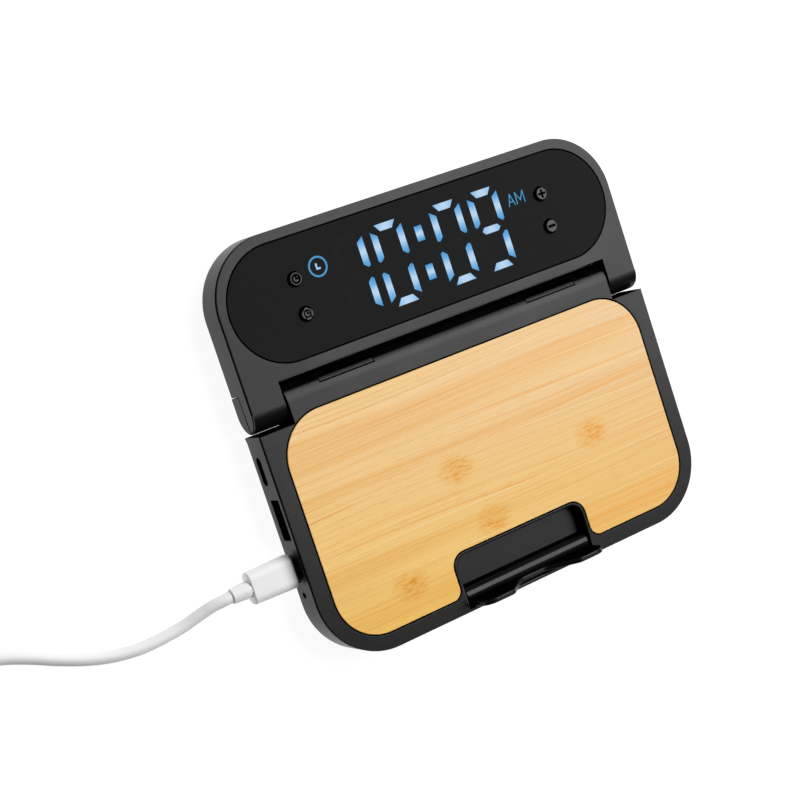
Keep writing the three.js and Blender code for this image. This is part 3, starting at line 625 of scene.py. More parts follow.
def fabric_look():
    """Woven tape: two crossed sets of threads."""
    look = Look("tie_fabric", Specular_IOR_Level=0.2, Roughness=0.9)
    across = look.node("TexWave", {"Vector": look.place((1, 0, 1)), "Scale": 1.2})
    along = look.node("TexWave", {"Vector": look.place((0, 1, 0)), "Scale": 1.2}, bands_direction="Y")
    weave = look.times(across, along)
    look.colour(look.mix(weave, srgb(18, 18, 20), srgb(52, 52, 56)))
    look.bump(weave, 0.8, 0.15)
    return look


def segment_look():
    """A lit segment, bluer towards its ends; the attribute glow runs from 0 there to 1 in its middle."""
    look = Look("segment_glow", Roughness=0.3, Specular_IOR_Level=0.01, Base_Color=BLACK, Emission_Strength=1)
    middle = look.node("Attribute", {}, "Fac", attribute_name="glow")
    uneven = look.maths("SUBTRACT", look.noise((2.4, 1.2, 1.2), 3), 0.5)
    warmth = look.plus(middle, look.times(uneven, 0.35))
    look.drive("Emission Color", look.ramp(warmth, (0, srgb(66, 146, 206)), (0.45, srgb(116, 178, 228)),
                                           (0.9, srgb(184, 214, 242))))
    return look


def printed_tone(look, colour):
    darker = [c * 0.9 for c in colour[:3]] + [1]
    return look.mix(look.noise(1.5), colour, darker)


def lit_print_look(name, colour):
    look = Look(name, Roughness=0.3, Specular_IOR_Level=0.018, Base_Color=BLACK, Emission_Strength=0.95)
    look.drive("Emission Color", printed_tone(look, colour))
    return look


def ghost_look():
    """A segment that isn't lit, just visible through the lens."""
    look = Look("ghost_segment", Roughness=0.3, Specular_IOR_Level=0.018)
    look.colour(printed_tone(look, srgb(25, 26, 26)))
    return look


LOOKS = {
    "cover_plastic": shell_plastic("cover_plastic"),
    "housing_plastic": shell_plastic("housing_plastic"),
    "lens_acrylic": lens_look(),
    "button_plastic": plastic("button_plastic", srgb(56, 57, 57), srgb(66, 67, 67), 0.4, 0.02, specular=0.22),
    "bamboo": bamboo_look(),
    "bamboo_edge": bamboo_edge_look(),
    "rubber": rubber_look("rubber", 24, 0.85),
    "steel": metal_look("steel", srgb(150, 150, 154), srgb(196, 197, 200), 0.32),
    "copper": metal_look("copper", srgb(176, 104, 62), srgb(204, 132, 84), 0.35),
    "ferrite": rubber_look("ferrite", 40, 0.7),
    "board": board_look(),
    # Matt black without any sheen: the black plastic of the electronics, and painted shade on faces in gaps,
    # grooves and hollows.
    "black_plastic": plastic("black_plastic", srgb(3, 3, 3), srgb(7, 7, 8), 0.65, 0.02, specular=0.0),
    "light_pipe": rubber_look("light_pipe", 30, 0.25),
    "cable_sheath": white_look("cable_sheath", 240, 0.5),
    "plug_plastic": white_look("plug_plastic", 243, 0.42),
    "tie_fabric": fabric_look(),
}
SEGMENT_GLOW = segment_look()
PRINT_BLUE = lit_print_look("print_blue", srgb(80, 160, 208))
PRINT_PALE_BLUE = lit_print_look("print_pale_blue", srgb(165, 212, 252))
GHOST = ghost_look()

# ---- cable

CABLE_R = 1.9
CABLE_RUN = [
    (-97.7, -33.3, 5.25), (-100, -33.5, 5.15), (-103.5, -33.8, 4.5), (-108, -34.9, 3.3), (-114, -36.4, 2.2),
    (-121, -37.2, 1.9), (-127, -37.4, 1.9), (-132, -37, 1.9), (-138, -35.9, 1.9), (-144, -34.1, 1.9),
    (-152, -30.8, 1.9), (-160, -26.9, 1.9), (-168, -23.7, 1.9), (-176, -21.9, 1.9), (-184, -21.3, 1.9),
]
COIL_ENTRY = (-192, -21.6, 2.3)
CABLE_TAIL = [
    (-227.1, 12.5, 5.9), (-227.3, 20, 5), (-226.2, 26, 4.3), (-223, 33.5, 4), (-216.5, 40, 4.1),
    (-209, 43.4, 4.3), (-202.3, 44, 4.4),
]
COIL = Sizes(x=-200, y=5, near=15.15, far=26.85, low=2.6, high=6.4, turns=3)
COIL_STEPS = 20  # points per turn
CABLE_RESOLUTION = 6


def coil_point(degrees, radius, z):
    angle = radians(degrees)
    return (COIL.x + radius * cos(angle), COIL.y + radius * sin(angle), z)


def coil_route():
    """Three turns inwards on the lower layer, a quarter turn up, and three turns outwards on top."""
    steps = COIL.turns * COIL_STEPS
    pitch = (COIL.far - COIL.near) / steps
    turn = 360 / COIL_STEPS
    climb = COIL_STEPS // 4
    rise = (COIL.high - COIL.low) / climb
    points = [coil_point(270 - i * turn, COIL.far - i * pitch, COIL.low) for i in range(steps + 1)]
    points += [coil_point(270 - i * turn, COIL.near, COIL.low + i * rise) for i in range(1, climb)]
    return points + [coil_point(180 - i * turn, COIL.near + i * pitch, COIL.high) for i in range(steps + 1)]


def cable():
    route = CABLE_RUN + [COIL_ENTRY] + coil_route() + CABLE_TAIL
    curve = bpy.data.curves.new("cable", "CURVE")
    curve.dimensions = "3D"
    curve.bevel_depth = CABLE_R * MM
    curve.bevel_resolution = CABLE_RESOLUTION
    curve.resolution_u = CABLE_RESOLUTION
    curve.use_fill_caps = True
    spline = curve.splines.new("BEZIER")
    spline.bezier_points.add(len(route) - 1)
    for point, place in zip(spline.bezier_points, route):
        point.co = Vector(place) * MM
        point.handle_left_type = point.handle_right_type = "AUTO"
    curve.materials.append(LOOKS["cable_sheath"].material)
    made = placed("cable", curve)
    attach(made, "base")
    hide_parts("cable_run", "cable_coil", "cable_tail")
    return made


# A plug lies along X, its face to the right. half and half_height are those of its face and of its back, and
# collar is the profile of its strain relief: (along X from the back, radius).
PLUG = Sizes(y=USB_C.lower, z=USB_C.z, face=-HALF - 1.3, back=-HALF - 16.4,
             half=(5.45, 5.15), half_height=(3.2, 3.0), corner=2.6, edge=0.55,
             collar=[(0, 2.7), (-0.15, 2.75), (-1.2, 2.72), (-3.2, 2.56), (-5.6, 2.42), (-6.05, 2.36),
                     (-6.22, 2.2), (-6.28, 1.8)])
FAR_PLUG = Sizes(y=44, z=4.4, face=-172, back=-193,
                 half=(8, 7.4), half_height=(4.2, 3.8), corner=2.4, edge=0.9,
                 collar=[(0.4, 3.2), (0.2, 3.3), (-0.6, 3.3), (-8.5, 2.4), (-9.0, 2.32), (-9.2, 2.15),
                         (-9.26, 1.8)])
CORNER_STEPS = 10
EDGE_STEPS = 5
COLLAR_SIDES = 40


def oblong(x, y, z, half, half_height, r):
    """A ring round the X direction: a rectangle whose corners have that radius."""
    points = []
    for quarter, (side_y, side_z) in enumerate(((1, 1), (-1, 1), (-1, -1), (1, -1))):
        for step in range(CORNER_STEPS + 1):
            angle = (quarter + step / CORNER_STEPS) * pi / 2
            points.append((x, y + side_y * (half - r) + r * cos(angle),
                           z + side_z * (half_height - r) + r * sin(angle)))
    return points


def overmould(plug):
    """The plug's moulded body, rounded over at both ends and tapering from its face to its back."""
    edge = plug.edge
    turns = [(i / EDGE_STEPS) * pi / 2 for i in range(EDGE_STEPS + 1)]
    first = [(plug.face - edge * (1 - cos(t)), 0, edge * (1 - sin(t))) for t in turns]
    last = [(plug.back + edge * (1 - cos(t)), 1, edge * (1 - sin(t))) for t in turns[::-1]]
    return loft([oblong(x, plug.y, plug.z, plug.half[end] - inset, plug.half_height[end] - inset,
                        plug.corner - inset) for x, end, inset in first + last])


def collar(plug):
    """The turned sleeve that ends round the cable."""
    return loft([[(plug.back + along, y, z) for y, z in circle(plug.y, plug.z, r, COLLAR_SIDES)]
                 for along, r in plug.collar])


def build_plugs():
    return [
        finished(overmould(PLUG), "usb_c_plug_fine", "base", "plug_plastic", ["usb_c_plug_body"]),
        finished(collar(PLUG), "usb_c_collar_fine", "base", "plug_plastic", ["usb_c_strain_relief"]),
        finished(join(overmould(FAR_PLUG), collar(FAR_PLUG)), "usb_a_plug_fine", "base", "plug_plastic",
                 ["usb_a_plug_body"]),
    ]


TIE = Sizes(left=-186.5, right=-172.6, low=0.1, high=8.9, near=2, far=8, corner=2.3, thickness=0.5)
TIE_TAB = Sizes(left=-183.5, right=-176, near=2.3, far=7.7, corner=1.2, thickness=0.4)


def tie_section(inset, longer):
    outer = rectangle(TIE.left + inset, TIE.right - inset, TIE.low + inset, TIE.high - inset,
                      TIE.corner - inset)
    return prism(outer, TIE.near - longer, TIE.far + longer, "Y")


def build_tie():
    """The fabric tie drawn round the coil's strands, with the tab that closes it on top."""
    band = cut(tie_section(0, 0), tie_section(TIE.thickness, PAST))
    tab = prism(rectangle(TIE_TAB.left, TIE_TAB.right, TIE_TAB.near, TIE_TAB.far, TIE_TAB.corner),
                TIE.high - OVERLAP, TIE.high + TIE_TAB.thickness)
    return finished(rounded(join(band, tab), TIE_EDGE), "cable_tie_fine", "base", "tie_fabric", ["cable_tie"])


# ---- tests on points and faces

def at_face(p):
    return p.z > FACE - TIGHT


def at_back(p):
    return p.z < BACK + TIGHT


def from_hinge(p):
    return hypot(p.y - HINGE_Y, p.z - MIDDLE)


def on_outer_edge(p, corner):
    """Whether a point is on the outer outline of a panel whose corners have that radius."""
    across, along = abs(p.x) - (HALF - corner), abs(p.y) - (TOP_Y - corner)
    reach = hypot(across, along) if min(across, along) > 0 else max(across, along)
    return reach > corner - LOOSE


def in_mouth(p, margin=CLOSE):
    """Whether a point is on the pocket's edge or inside it."""
    return abs(p.x) < POCKET.half + margin and POCKET.end - margin < p.y < POCKET.top + margin


def is_ledge_of_groove(p, normal):
    return normal.z > FACING and abs(p.z - WALL_TOP) < CLOSE


def is_rim_of_ear(p, normal):
    """The groove round the ear's end, and the narrow rim in front of it."""
    in_end = p.y < HINGE_Y and p.z > EAR_GROOVE_LOW - LOOSE and abs(p.x) > HALF - GROOVE_DEPTH - LOOSE
    return in_end and from_hinge(p) > HINGE_R - RIM - GROOVE - LOOSE and (
        abs(normal.x) > LEANING or from_hinge(p) < HINGE_R - LOOSE)


# Faces of the housing given painted shade in matt black: the ledge of the groove, the lip under the barrel,
# and the groove round the ear's end with the rim in front of it.
def is_painted_shade_face_of_display(p, normal):
    on_lip = abs(from_hinge(p) - HINGE_R - LIP.gap) < LOOSE
    return is_ledge_of_groove(p, normal) or on_lip or is_rim_of_ear(p, normal)


def is_painted_shade_face_of_cover(p, normal):
    """Faces given painted shade in matt black: the cover's thin sides in the gaps, the bottom of the pocket's
    groove, and the barrel's far side in the recess.
    """
    if in_mouth(p):
        return p.z < FACE - POCKET.depth - CLOSE
    at_tub = abs(p.x) < TUB.half + CLOSE and p.y < END_Y + LOOSE
    in_recess = p.y > LIP.end + 2 * LOOSE
    at_side = p.y < HINGE_Y - LOOSE or abs(normal.x) > FACING
    return p.z < FACE - FACE_EDGE and not at_tub and at_side or in_recess


# Faces of the housing given painted shade in matt black: the ledge of the groove, the shoulder walls facing
# the ears, and the walls facing the ears beside the barrel.
def is_painted_shade_face_of_base(p, normal):
    on_shoulder = normal.y > FACING and abs(p.y - SHOULDER_Y) < LOOSE
    beside_barrel = abs(normal.x) > FACING and p.y > SHOULDER_Y
    return is_ledge_of_groove(p, normal) or on_shoulder or beside_barrel


# ---- display panel

def display_plan(inset, ear_end):
    x = HALF - inset
    ear = EAR_INNER + inset
    r = DISPLAY_CORNER - inset
    return outline((-x, ear_end), (-ear, ear_end), (-ear, RECESS_Y + inset), (ear, RECESS_Y + inset),
                   (ear, ear_end), (x, ear_end), (x, TOP_Y - inset, r), (-x, TOP_Y - inset, r))


def lens_plan(inset):
    r = (LENS.top - LENS.bottom) / 2 - inset - HAIR
    return rectangle(inset - LENS.half, LENS.half - inset, LENS.bottom + inset, LENS.top - inset, r)


def screw_well(x, y):
    """The counterbore and the hole of a screw driven from the back."""
    return [rod(x, y, SCREW.head_r + SEAM, BACK - PAST, SCREW.well),
            rod(x, y, SCREW.r + SEAM, BACK, SCREW.hole_end)]


def foot_pocket(x, y, r):
    return rod(x, y, r + SEAM, BACK - PAST, BACK + FOOT_POCKET)


def sound_holes():
    reach = SOUND_HOLE.reach
    return [rod(SOUND_HOLE.x + x, SOUND_HOLE.y + y, SOUND_HOLE.r, BACK - PAST, FLOOR_TOP + PAST)
            for x, y in [(0, 0), (reach, 0), (-reach, 0), (0, reach), (0, -reach)]]


def hinge_lip():
    """The lip under the barrel, hollowed round the hinge axis."""
    lip = block(-BARREL_HALF, BARREL_HALF, LIP.end, RECESS_Y + PAST, BACK, MIDDLE)
    return cut(lip, hinge_rod(HINGE_R + LIP.gap))


def ear_groove(side):
    """The parting groove where it runs down round the ear's end."""
    low, high = span(side, HALF - GROOVE_DEPTH, HALF + PAST)
    outside = HINGE_R - RIM
    core = [(y * (outside - EAR_GROOVE) + HINGE_Y, z * (outside - GROOVE) + MIDDLE)
            for y, z in circle(0, 0, 1, sides_of(outside))]
    hoop = cut(hinge_rod(outside, low, high), prism(core, low - PAST, high + PAST, "X"))
    return cut(hoop, slab(y0=HINGE_Y), slab(z1=EAR_GROOVE_LOW))


def display_housing():
    body = join(
        prism(display_plan(0, HINGE_Y), BACK, WALL_TOP),
        *ear_rods(HINGE_R, EAR_INNER, HALF),
    )
    cut(
        body,
        slab(y0=HINGE_Y, z0=WALL_TOP),
        prism(display_plan(WALL, HINGE_Y + WALL), FLOOR_TOP, BIG),
        *both_sides(lambda s: block(*span(s, EAR_INNER - PAST, HALF + PAST), -BIG, EAR_SPLIT_Y, 0, MIDDLE)),
        *ear_rods(SHAFT_HOLE_R, EAR_INNER - PAST, HALF - WALL),
    )
    join(body, hinge_lip())
    cut(body, *both_sides(ear_groove))
    for x, y in DISPLAY_SCREWS:
        cut(body, *screw_well(x, y))
    cut(body, *[foot_pocket(x, y, DISPLAY_FOOT_R) for x, y in DISPLAY_FEET], *sound_holes())
    rounded(body, BACK_EDGE, lambda p: at_back(p) and (
        on_outer_edge(p, DISPLAY_CORNER) or abs(p.y - RECESS_Y) < LOOSE))
    return rounded(body, OUTER_EDGE, is_edge_of_ear)


def is_edge_of_ear(p):
    """The edges of the ears' front halves, but not those of the grooves in their ends."""
    on_ear = abs(p.x) > EAR_INNER - LOOSE and p.y < EAR_SPLIT_Y - LOOSE and p.z < WALL_TOP - 0.5
    return on_ear and (p.z < EAR_GROOVE_LOW - LOOSE or from_hinge(p) > HINGE_R - CLOSE
                       or abs(p.x) < HALF - GROOVE_DEPTH - LOOSE)


def display_front_cover():
    body = join(
        prism(display_plan(0, HINGE_Y), FACE - RIM, FACE),
        prism(display_plan(WALL + SEAM, HINGE_Y + WALL + SEAM), DISPLAY_SKIRT, FACE - RIM + OVERLAP),
    )
    cut(
        body,
        prism(lens_plan(-SEAM), FACE - LENS.thickness - BED_PLAY, BIG),
        prism(lens_plan(LENS.seat), 0, BIG),
        *ear_rods(SHAFT_HOLE_R, EAR_INNER, HALF - WALL),
    )
    rounded(body, FACE_EDGE, lambda p: at_face(p) and on_outer_edge(p, DISPLAY_CORNER))
    return rounded(body, FINE_EDGE, lambda p: at_face(p) and p.y > HINGE_Y + TIGHT
                   and not on_outer_edge(p, DISPLAY_CORNER))


def ear_rear_cover(side, screw_place):
    x = span(side, EAR_INNER, HALF)
    body = join(hinge_rod(HINGE_R, *x), block(*x, HINGE_Y, EAR_SPLIT_Y - SEAM, BACK, MIDDLE))
    cut(
        body,
        slab(z0=MIDDLE - SEAM),
        hinge_rod(SHAFT_HOLE_R, *span(side, EAR_INNER - PAST, HALF - WALL)),
        *screw_well(*screw_place),
    )
    return rounded(body, OUTER_EDGE, lambda p: min(abs(abs(p.x) - EAR_INNER), abs(abs(p.x) - HALF)) < TIGHT
                   or p.y > EAR_SPLIT_Y - SEAM - LOOSE)


def display_lens():
    body = prism(lens_plan(OVERLAP), FACE - LENS.thickness, FACE)
    cut(body, *[rod(x, y, BUTTON.hole, 0, BIG) for _, x, y in BUTTONS])
    return rounded(body, FINE_EDGE, at_face)


# ---- symbols

def bar(start, end, stroke):
    """A straight bar between two points; a stroke is (width, low, high)."""
    width, low, high = stroke
    along = Vector((end[0] - start[0], end[1] - start[1])).normalized() * width / 2
    side = Vector((-along.y, along.x))
    a, b = Vector(start) - along, Vector(end) + along
    return prism([tuple(a + side), tuple(a - side), tuple(b - side), tuple(b + side)], low, high)


def bars(stroke, *points):
    """Bars joined from point to point."""
    made = [bar(start, end, stroke) for start, end in zip(points, points[1:])]
    return join(made[0], *made[1:])


def ring(x, y, r, stroke):
    width, low, high = stroke
    return cut(rod(x, y, r, low, high), rod(x, y, r - width, low - PAST, high + PAST))


def clock_symbol(x, y, r, stroke):
    """A dial with hands at three o'clock."""
    return join(ring(x, y, r, stroke), bars(stroke, (x, y + 0.5 * r), (x, y), (x + 0.4 * r, y)))


def alarm_symbol(x, y, r, stroke):
    """A dial with two bells on top and two feet."""
    parts = []
    for _, side in SIDES:
        parts.append(bar((x + side * 0.45 * r, y + 1.05 * r), (x + side * r, y + 0.6 * r), stroke))
        parts.append(bar((x + side * 0.5 * r, y - 0.6 * r), (x + side * 0.75 * r, y - r), stroke))
    return join(clock_symbol(x, y, 0.8 * r, stroke), *parts)


def plus_symbol(x, y, r, stroke):
    return join(bar((x - r, y), (x + r, y), stroke), bar((x, y - r), (x, y + r), stroke))


def minus_symbol(x, y, r, stroke):
    return bar((x - r, y), (x + r, y), stroke)


SYMBOLS = {  # shape, size, width of its strokes
    "button_clock": (clock_symbol, 1.62, 0.72), "button_alarm": (alarm_symbol, 1.68, 0.52),
    "button_plus": (plus_symbol, 1.1, 0.8), "button_minus": (minus_symbol, 1.0, 0.95),
}


def button_cap(x, y):
    """The cap with its flange and stem; its edge is rounded over, and its top is let in for the disc."""
    bed = BUTTON.top - DISC.thickness
    flange_top = FACE - LENS.thickness - SEAM
    flange = flange_top - BUTTON.flange
    below = [(0, BUTTON.stem_end), (BUTTON.stem_r, BUTTON.stem_end), (BUTTON.stem_r, flange),
             (BUTTON.flange_r, flange), (BUTTON.flange_r, flange_top), (BUTTON.r, flange_top)]
    edge = [(BUTTON.r - inwards, BUTTON.top - down) for inwards, down in CAP_EDGE]
    return turned([*below, *edge, (DISC.r, bed), (0, bed)], x, y)


def button_disc(name, x, y):
    """The satin disc on the cap, pierced in the shape of the symbol."""
    top, bed, r = BUTTON.top, BUTTON.top - DISC.thickness, DISC.r
    inwards, down = DISC.edge
    disc = turned([(0, bed), (r, bed), (r, top - down), (r - inwards, top), (0, top)], x, y)
    symbol, size, width = SYMBOLS[name]
    return cut(disc, symbol(x, y, size, (width, bed - PAST, top + PAST)))


def build_display():
    # The cover's sides below its rounded top edge are matt black: painted shade in the groove and the gaps
    # round the panel.
    finished(display_front_cover(), "display_cover_fine", "display", "cover_plastic", ["display_front_cover"],
             lambda p, n: p.z < FACE - FACE_EDGE)
    stand_in(display_housing(), "display_housing", "display", "housing_plastic", is_painted_shade_face_of_display)
    # The lens's sides and underside are matt black: painted shade in the gap round it.
    stand_in(display_lens(), "display_lens", "display", "lens_acrylic",
             lambda p, n: p.z < FACE - FINE_EDGE - CLOSE)
    for (name, side), screw_place in zip(SIDES, EAR_SCREWS):
        finished(ear_rear_cover(side, screw_place), f"ear_cover_{name}_fine", "display", "housing_plastic",
                 [f"ear_rear_cover_{name}"])
    for name, x, y in BUTTONS:
        # Each cap is black plastic, matt and without sheen, so its side wall also stands as painted shade
        # round the grey disc.
        stand_in(button_cap(x, y), name, name, "black_plastic")
        finished(button_disc(name, x, y), f"{name}_disc", name, "button_plastic")


# ---- the time

DIGIT_WIDTH = 11.75
DIGIT_RIGHTS = (-20.8, -6.0, 16.5, 31.45)
DIGIT_TOP = TOP_Y - 8.8
DIGIT_HALF = 13.3  # half a digit's height
SLANT = 0.3  # how far the lower half is shifted to the left
SHOWN = ("1", "0", "0", "9")
LIT = {"1": "bc", "0": "abcdef", "9": "abcdfg"}
# Outlines of segments: x runs left from the digit's right edge, y down from its top edge.
TOP_SEGMENT = [(-9.6, 0), (-1.9, 0), (-3.55, 2.3), (-7.95, 2.3)]
SIDE_SEGMENT = [(0, 1.85), (0, 11.15), (-0.45, 11.6), (-1.0, 11.6), (-2.3, 10.4), (-2.3, 3.45)]
MIDDLE_SEGMENT = [(x, DIGIT_HALF + down) for x, down in (
    (-9.6, 0), (-8.6, -1.12), (-3.5, -1.12), (-2.45, 0), (-3.5, 1.12), (-8.6, 1.12))]
COLON_DOTS = {"upper": (-2.0, TOP_Y - 18.2), "lower": (-2.35, TOP_Y - 30.9)}  # their lower left corners
COLON_DOT = (2.7, 4.95)
GLOW_LOW = FACE + 0.005
GHOST_HIGH = FACE + 0.015
GLOW_HIGH = FACE + 0.04
GLOW_BANDS = 10
LYING_GLOW = 0.55  # glow at the ends of a lying segment
DIAL = Sizes(x=-38.5, y=TOP_Y - 15.15, r=3.32, stroke=(0.6, GLOW_LOW, GLOW_HIGH))
DIAL_HANDS = [(-0.47, 0.85), (-0.47, -0.62), (0.5, -0.62)]
LETTER_STROKE = (0.33, GLOW_LOW, GLOW_HIGH)
LETTER_LOW = TOP_Y - 17.1
LETTER_HIGH = TOP_Y - 13.35


def segment_shapes():
    def mirrored(points):
        return [(-DIGIT_WIDTH - x, y) for x, y in points]

    def lowered(points):
        return [(x - SLANT, 2 * DIGIT_HALF - y) for x, y in points]

    return {"a": TOP_SEGMENT, "b": SIDE_SEGMENT, "c": lowered(SIDE_SEGMENT), "d": lowered(TOP_SEGMENT),
            "e": lowered(mirrored(SIDE_SEGMENT)), "f": mirrored(SIDE_SEGMENT), "g": MIDDLE_SEGMENT}


def plate(points):
    """A lit plate, cut across into bands so that its glow can vary along its longer side."""
    lows, highs = [min(along) for along in zip(*points)], [max(along) for along in zip(*points)]
    axis = int(highs[1] - lows[1] > highs[0] - lows[0])
    start, end = lows[axis], highs[axis]
    body = prism(points, GLOW_LOW, GLOW_HIGH)
    bm = bmesh.new()
    bm.from_mesh(body.data)
    across = [0, 0, 0]
    across[axis] = 1
    for i in range(1, GLOW_BANDS):
        at = start + (end - start) * i / GLOW_BANDS
        bmesh.ops.bisect_plane(bm, geom=bm.verts[:] + bm.edges[:] + bm.faces[:],
                               plane_co=[at * part for part in across], plane_no=across)
    bm.to_mesh(body.data)
    bm.free()
    glow = body.data.attributes.new("glow", "FLOAT", "POINT")
    middle, reach = (start + end) / 2, (end - start) / 2
    least = 0.0 if axis else LYING_GLOW
    glow.data.foreach_set("value", [least + (1 - least) * (1 - abs(vertex.co[axis] - middle) / reach)
                                    for vertex in body.data.vertices])
    return body


def shown(piece, name, look):
    """A part of the display's picture: finished like the lens, then given its own look in place of the
    lens's.
    """
    finished(piece, name, "display", "lens_acrylic").data.materials[0] = look.material


def build_time():
    shapes = segment_shapes()
    for place, (digit, right) in enumerate(zip(SHOWN, DIGIT_RIGHTS), 1):
        for segment, points in shapes.items():
            there = [(right + x, DIGIT_TOP - y) for x, y in points]
            if segment in LIT[digit]:
                shown(plate(there), f"digit_{place}_{segment}", SEGMENT_GLOW)
            else:
                shown(prism(there, GLOW_LOW, GHOST_HIGH), f"ghost_{place}_{segment}", GHOST)
    for name, (x, y) in COLON_DOTS.items():
        shown(plate(rectangle(x, x + COLON_DOT[0], y, y + COLON_DOT[1])), f"colon_{name}", SEGMENT_GLOW)


def build_display_symbols():
    x, y = DIAL.x, DIAL.y
    shown(ring(x, y, DIAL.r, DIAL.stroke), "dial_symbol_ring", PRINT_BLUE)
    hands = bars(DIAL.stroke, *[(x + right, y + up) for right, up in DIAL_HANDS])
    shown(hands, "dial_symbol_hands", PRINT_PALE_BLUE)
    low, high, bridge = LETTER_LOW, LETTER_HIGH, LETTER_LOW + 1.2
    letter_a = join(bars(LETTER_STROKE, (34.65, low), (35.87, high), (37.1, low)),
                    bar((35.2, bridge), (36.55, bridge), LETTER_STROKE))
    shown(letter_a, "morning_letter_a", PRINT_BLUE)
    letter_m = bars(LETTER_STROKE, (37.95, low), (37.95, high), (39.5, low + 0.9), (41.05, high),
                    (41.05, low))
    shown(letter_m, "morning_letter_m", PRINT_BLUE)


# ---- base

def base_plan(inset, tongue_end):
    x = HALF - inset
    r = BASE_CORNER - inset
    tongue = BARREL_HALF - inset
    shoulder = SHOULDER_Y - inset
    return outline((-x, shoulder), (-x, END_Y + inset, r), (x, END_Y + inset, r), (x, shoulder),
                   (tongue, shoulder), (tongue, tongue_end), (-tongue, tongue_end), (-tongue, shoulder))


def bamboo_plan(grow):
    x, r, bottom = BAMBOO.half + grow, BAMBOO.corner + grow, BAMBOO.bottom - grow
    n, fillet = NOTCH.half - grow, NOTCH.fillet + grow
    left = [(-x, BAMBOO.top + grow, r), (-x, bottom, r), (-n, bottom, fillet),
            (-n, NOTCH.top - grow, NOTCH.corner - grow)]
    return outline(*left, *[(-a, b, c) for a, b, c in left[::-1]])


def bamboo_bed():
    return prism(bamboo_plan(SEAM), FACE - BAMBOO.thickness - BED_PLAY, BIG)


def barrel_bore():
    return hinge_rod(HINGE_R - BARREL_WALL, WALL - BARREL_HALF, BARREL_HALF - WALL)


def barrel_quarter():
    """The barrel's upper front quarter, which the cover carries."""
    return cut(
        hinge_rod(HINGE_R, -BARREL_HALF, BARREL_HALF),
        barrel_bore(),
        slab(y1=HINGE_Y + SEAM / 2, z1=FACE - RIM),
        slab(y1=HINGE_Y - PAST),
        slab(z1=MIDDLE + SEAM / 2),
        hinge_rod(SHAFT_HOLE_R),
    )


def ledge_tub():
    """The walls round the ledge's pocket, open below its deeper part."""
    half, wall, low = TUB.half, TUB.wall, TUB.bottom
    return cut(block(-half, half, END_Y, POCKET.top + wall, low, FACE - RIM),
               slab(POCKET.step + TUB.step_wall, BIG, low - PAST, FACE - POCKET.depth - TUB.floor))


def base_top_cover():
    body = join(
        prism(base_plan(0, HINGE_Y), FACE - RIM, FACE),
        prism(base_plan(WALL + SEAM, BASE_SKIRT_END), BASE_SKIRT, FACE - RIM + OVERLAP),
        ledge_tub(),
        barrel_quarter(),
    )
    half, end, top, r = POCKET.half, POCKET.end, POCKET.top, POCKET.corner
    pin_half = TUB.half - TUB.end_wall
    cut(
        body,
        bamboo_bed(),
        prism(outline((-half, end), (half, end), (half, top, r), (-half, top, r)), FACE - POCKET.depth, BIG),
        block(-half, half, end, POCKET.step, FACE - POCKET.groove, BIG),
        rod(LEDGE.y, LEDGE.z, PIN_R + SEAM, -pin_half, pin_half, "X"),
        *both_sides(lambda s: block(*span(s, STRIP.near - SEAM, STRIP.far + SEAM),
                                    STRIP.low - SEAM - OVERLAP, STRIP.high + SEAM, STRIP.bed, BIG)),
    )
    rounded(body, MOUTH_EDGE, lambda p: at_face(p) and in_mouth(p))
    return rounded(body, FACE_EDGE, lambda p: at_face(p) and not in_mouth(p, MOUTH_EDGE + CLOSE))


def socket_hole(socket, y, corner):
    """The opening of a socket through the left wall."""
    across, up = socket.width / 2, socket.height / 2
    opening = rectangle(y - across, y + across, socket.z - up, socket.z + up, corner)
    return prism(opening, -HALF - PAST, -HALF + WALL + PAST, "X")


def base_housing():
    body = join(
        prism(base_plan(0, HINGE_Y), BACK, WALL_TOP),
        hinge_rod(HINGE_R, -BARREL_HALF, BARREL_HALF),
    )
    tub = TUB.half + SEAM
    cut(
        body,
        slab(y0=HINGE_Y, z0=MIDDLE - SEAM / 2),
        slab(z0=WALL_TOP),
        prism(base_plan(WALL, HINGE_Y + PAST), FLOOR_TOP, BIG),
        barrel_bore(),
        hinge_rod(SHAFT_HOLE_R),
        block(-tub, tub, -BIG, END_Y + WALL + PAST, TUB.bottom - SEAM, BIG),
        bamboo_bed(),
    )
    for x, y in BASE_SCREWS:
        cut(body, *screw_well(x, y))
    cut(
        body,
        *[foot_pocket(x, y, BASE_FOOT_R) for x, y in BASE_FEET],
        *[socket_hole(USB_C, y, USB_C.height / 2 - HAIR) for y in (USB_C.upper, USB_C.lower)],
        socket_hole(USB_A, USB_A.y, USB_A.corner),
        rod(LIGHT.y, LIGHT.z, LIGHT.r + SEAM, -HALF - PAST, -HALF + WALL + PAST, "X"),
    )
    rounded(body, SOCKET_EDGE, lambda p: p.x < -HALF + TIGHT and BACK + 1 < p.z < WALL_TOP - 0.5)
    return rounded(body, BACK_EDGE, lambda p: at_back(p) and on_outer_edge(p, BASE_CORNER))


def bamboo_plate():
    return rounded(prism(bamboo_plan(-OVERLAP), FACE - BAMBOO.thickness, FACE), BAMBOO_EDGE, at_face)


def barrel_strip(side):
    """A bar let into the barrel: level at the near side, then leaning away, proud at the far side."""
    low, bottom = STRIP.low, STRIP.bottom
    level, high = low + STRIP_TOP.level, low + STRIP_TOP.lean
    top = MIDDLE + sqrt(HINGE_R ** 2 - (low - HINGE_Y) ** 2) - STRIP_TOP.sunk
    section = [(low, bottom), (high, bottom), (high, top - STRIP_TOP.drop), (level, top), (low, top)]
    body = prism(section, *span(side, STRIP.near, STRIP.far), "X")
    return rounded(body, STRIP_EDGE, lambda p: p.z > bottom + 2, sharpest=radians(50))


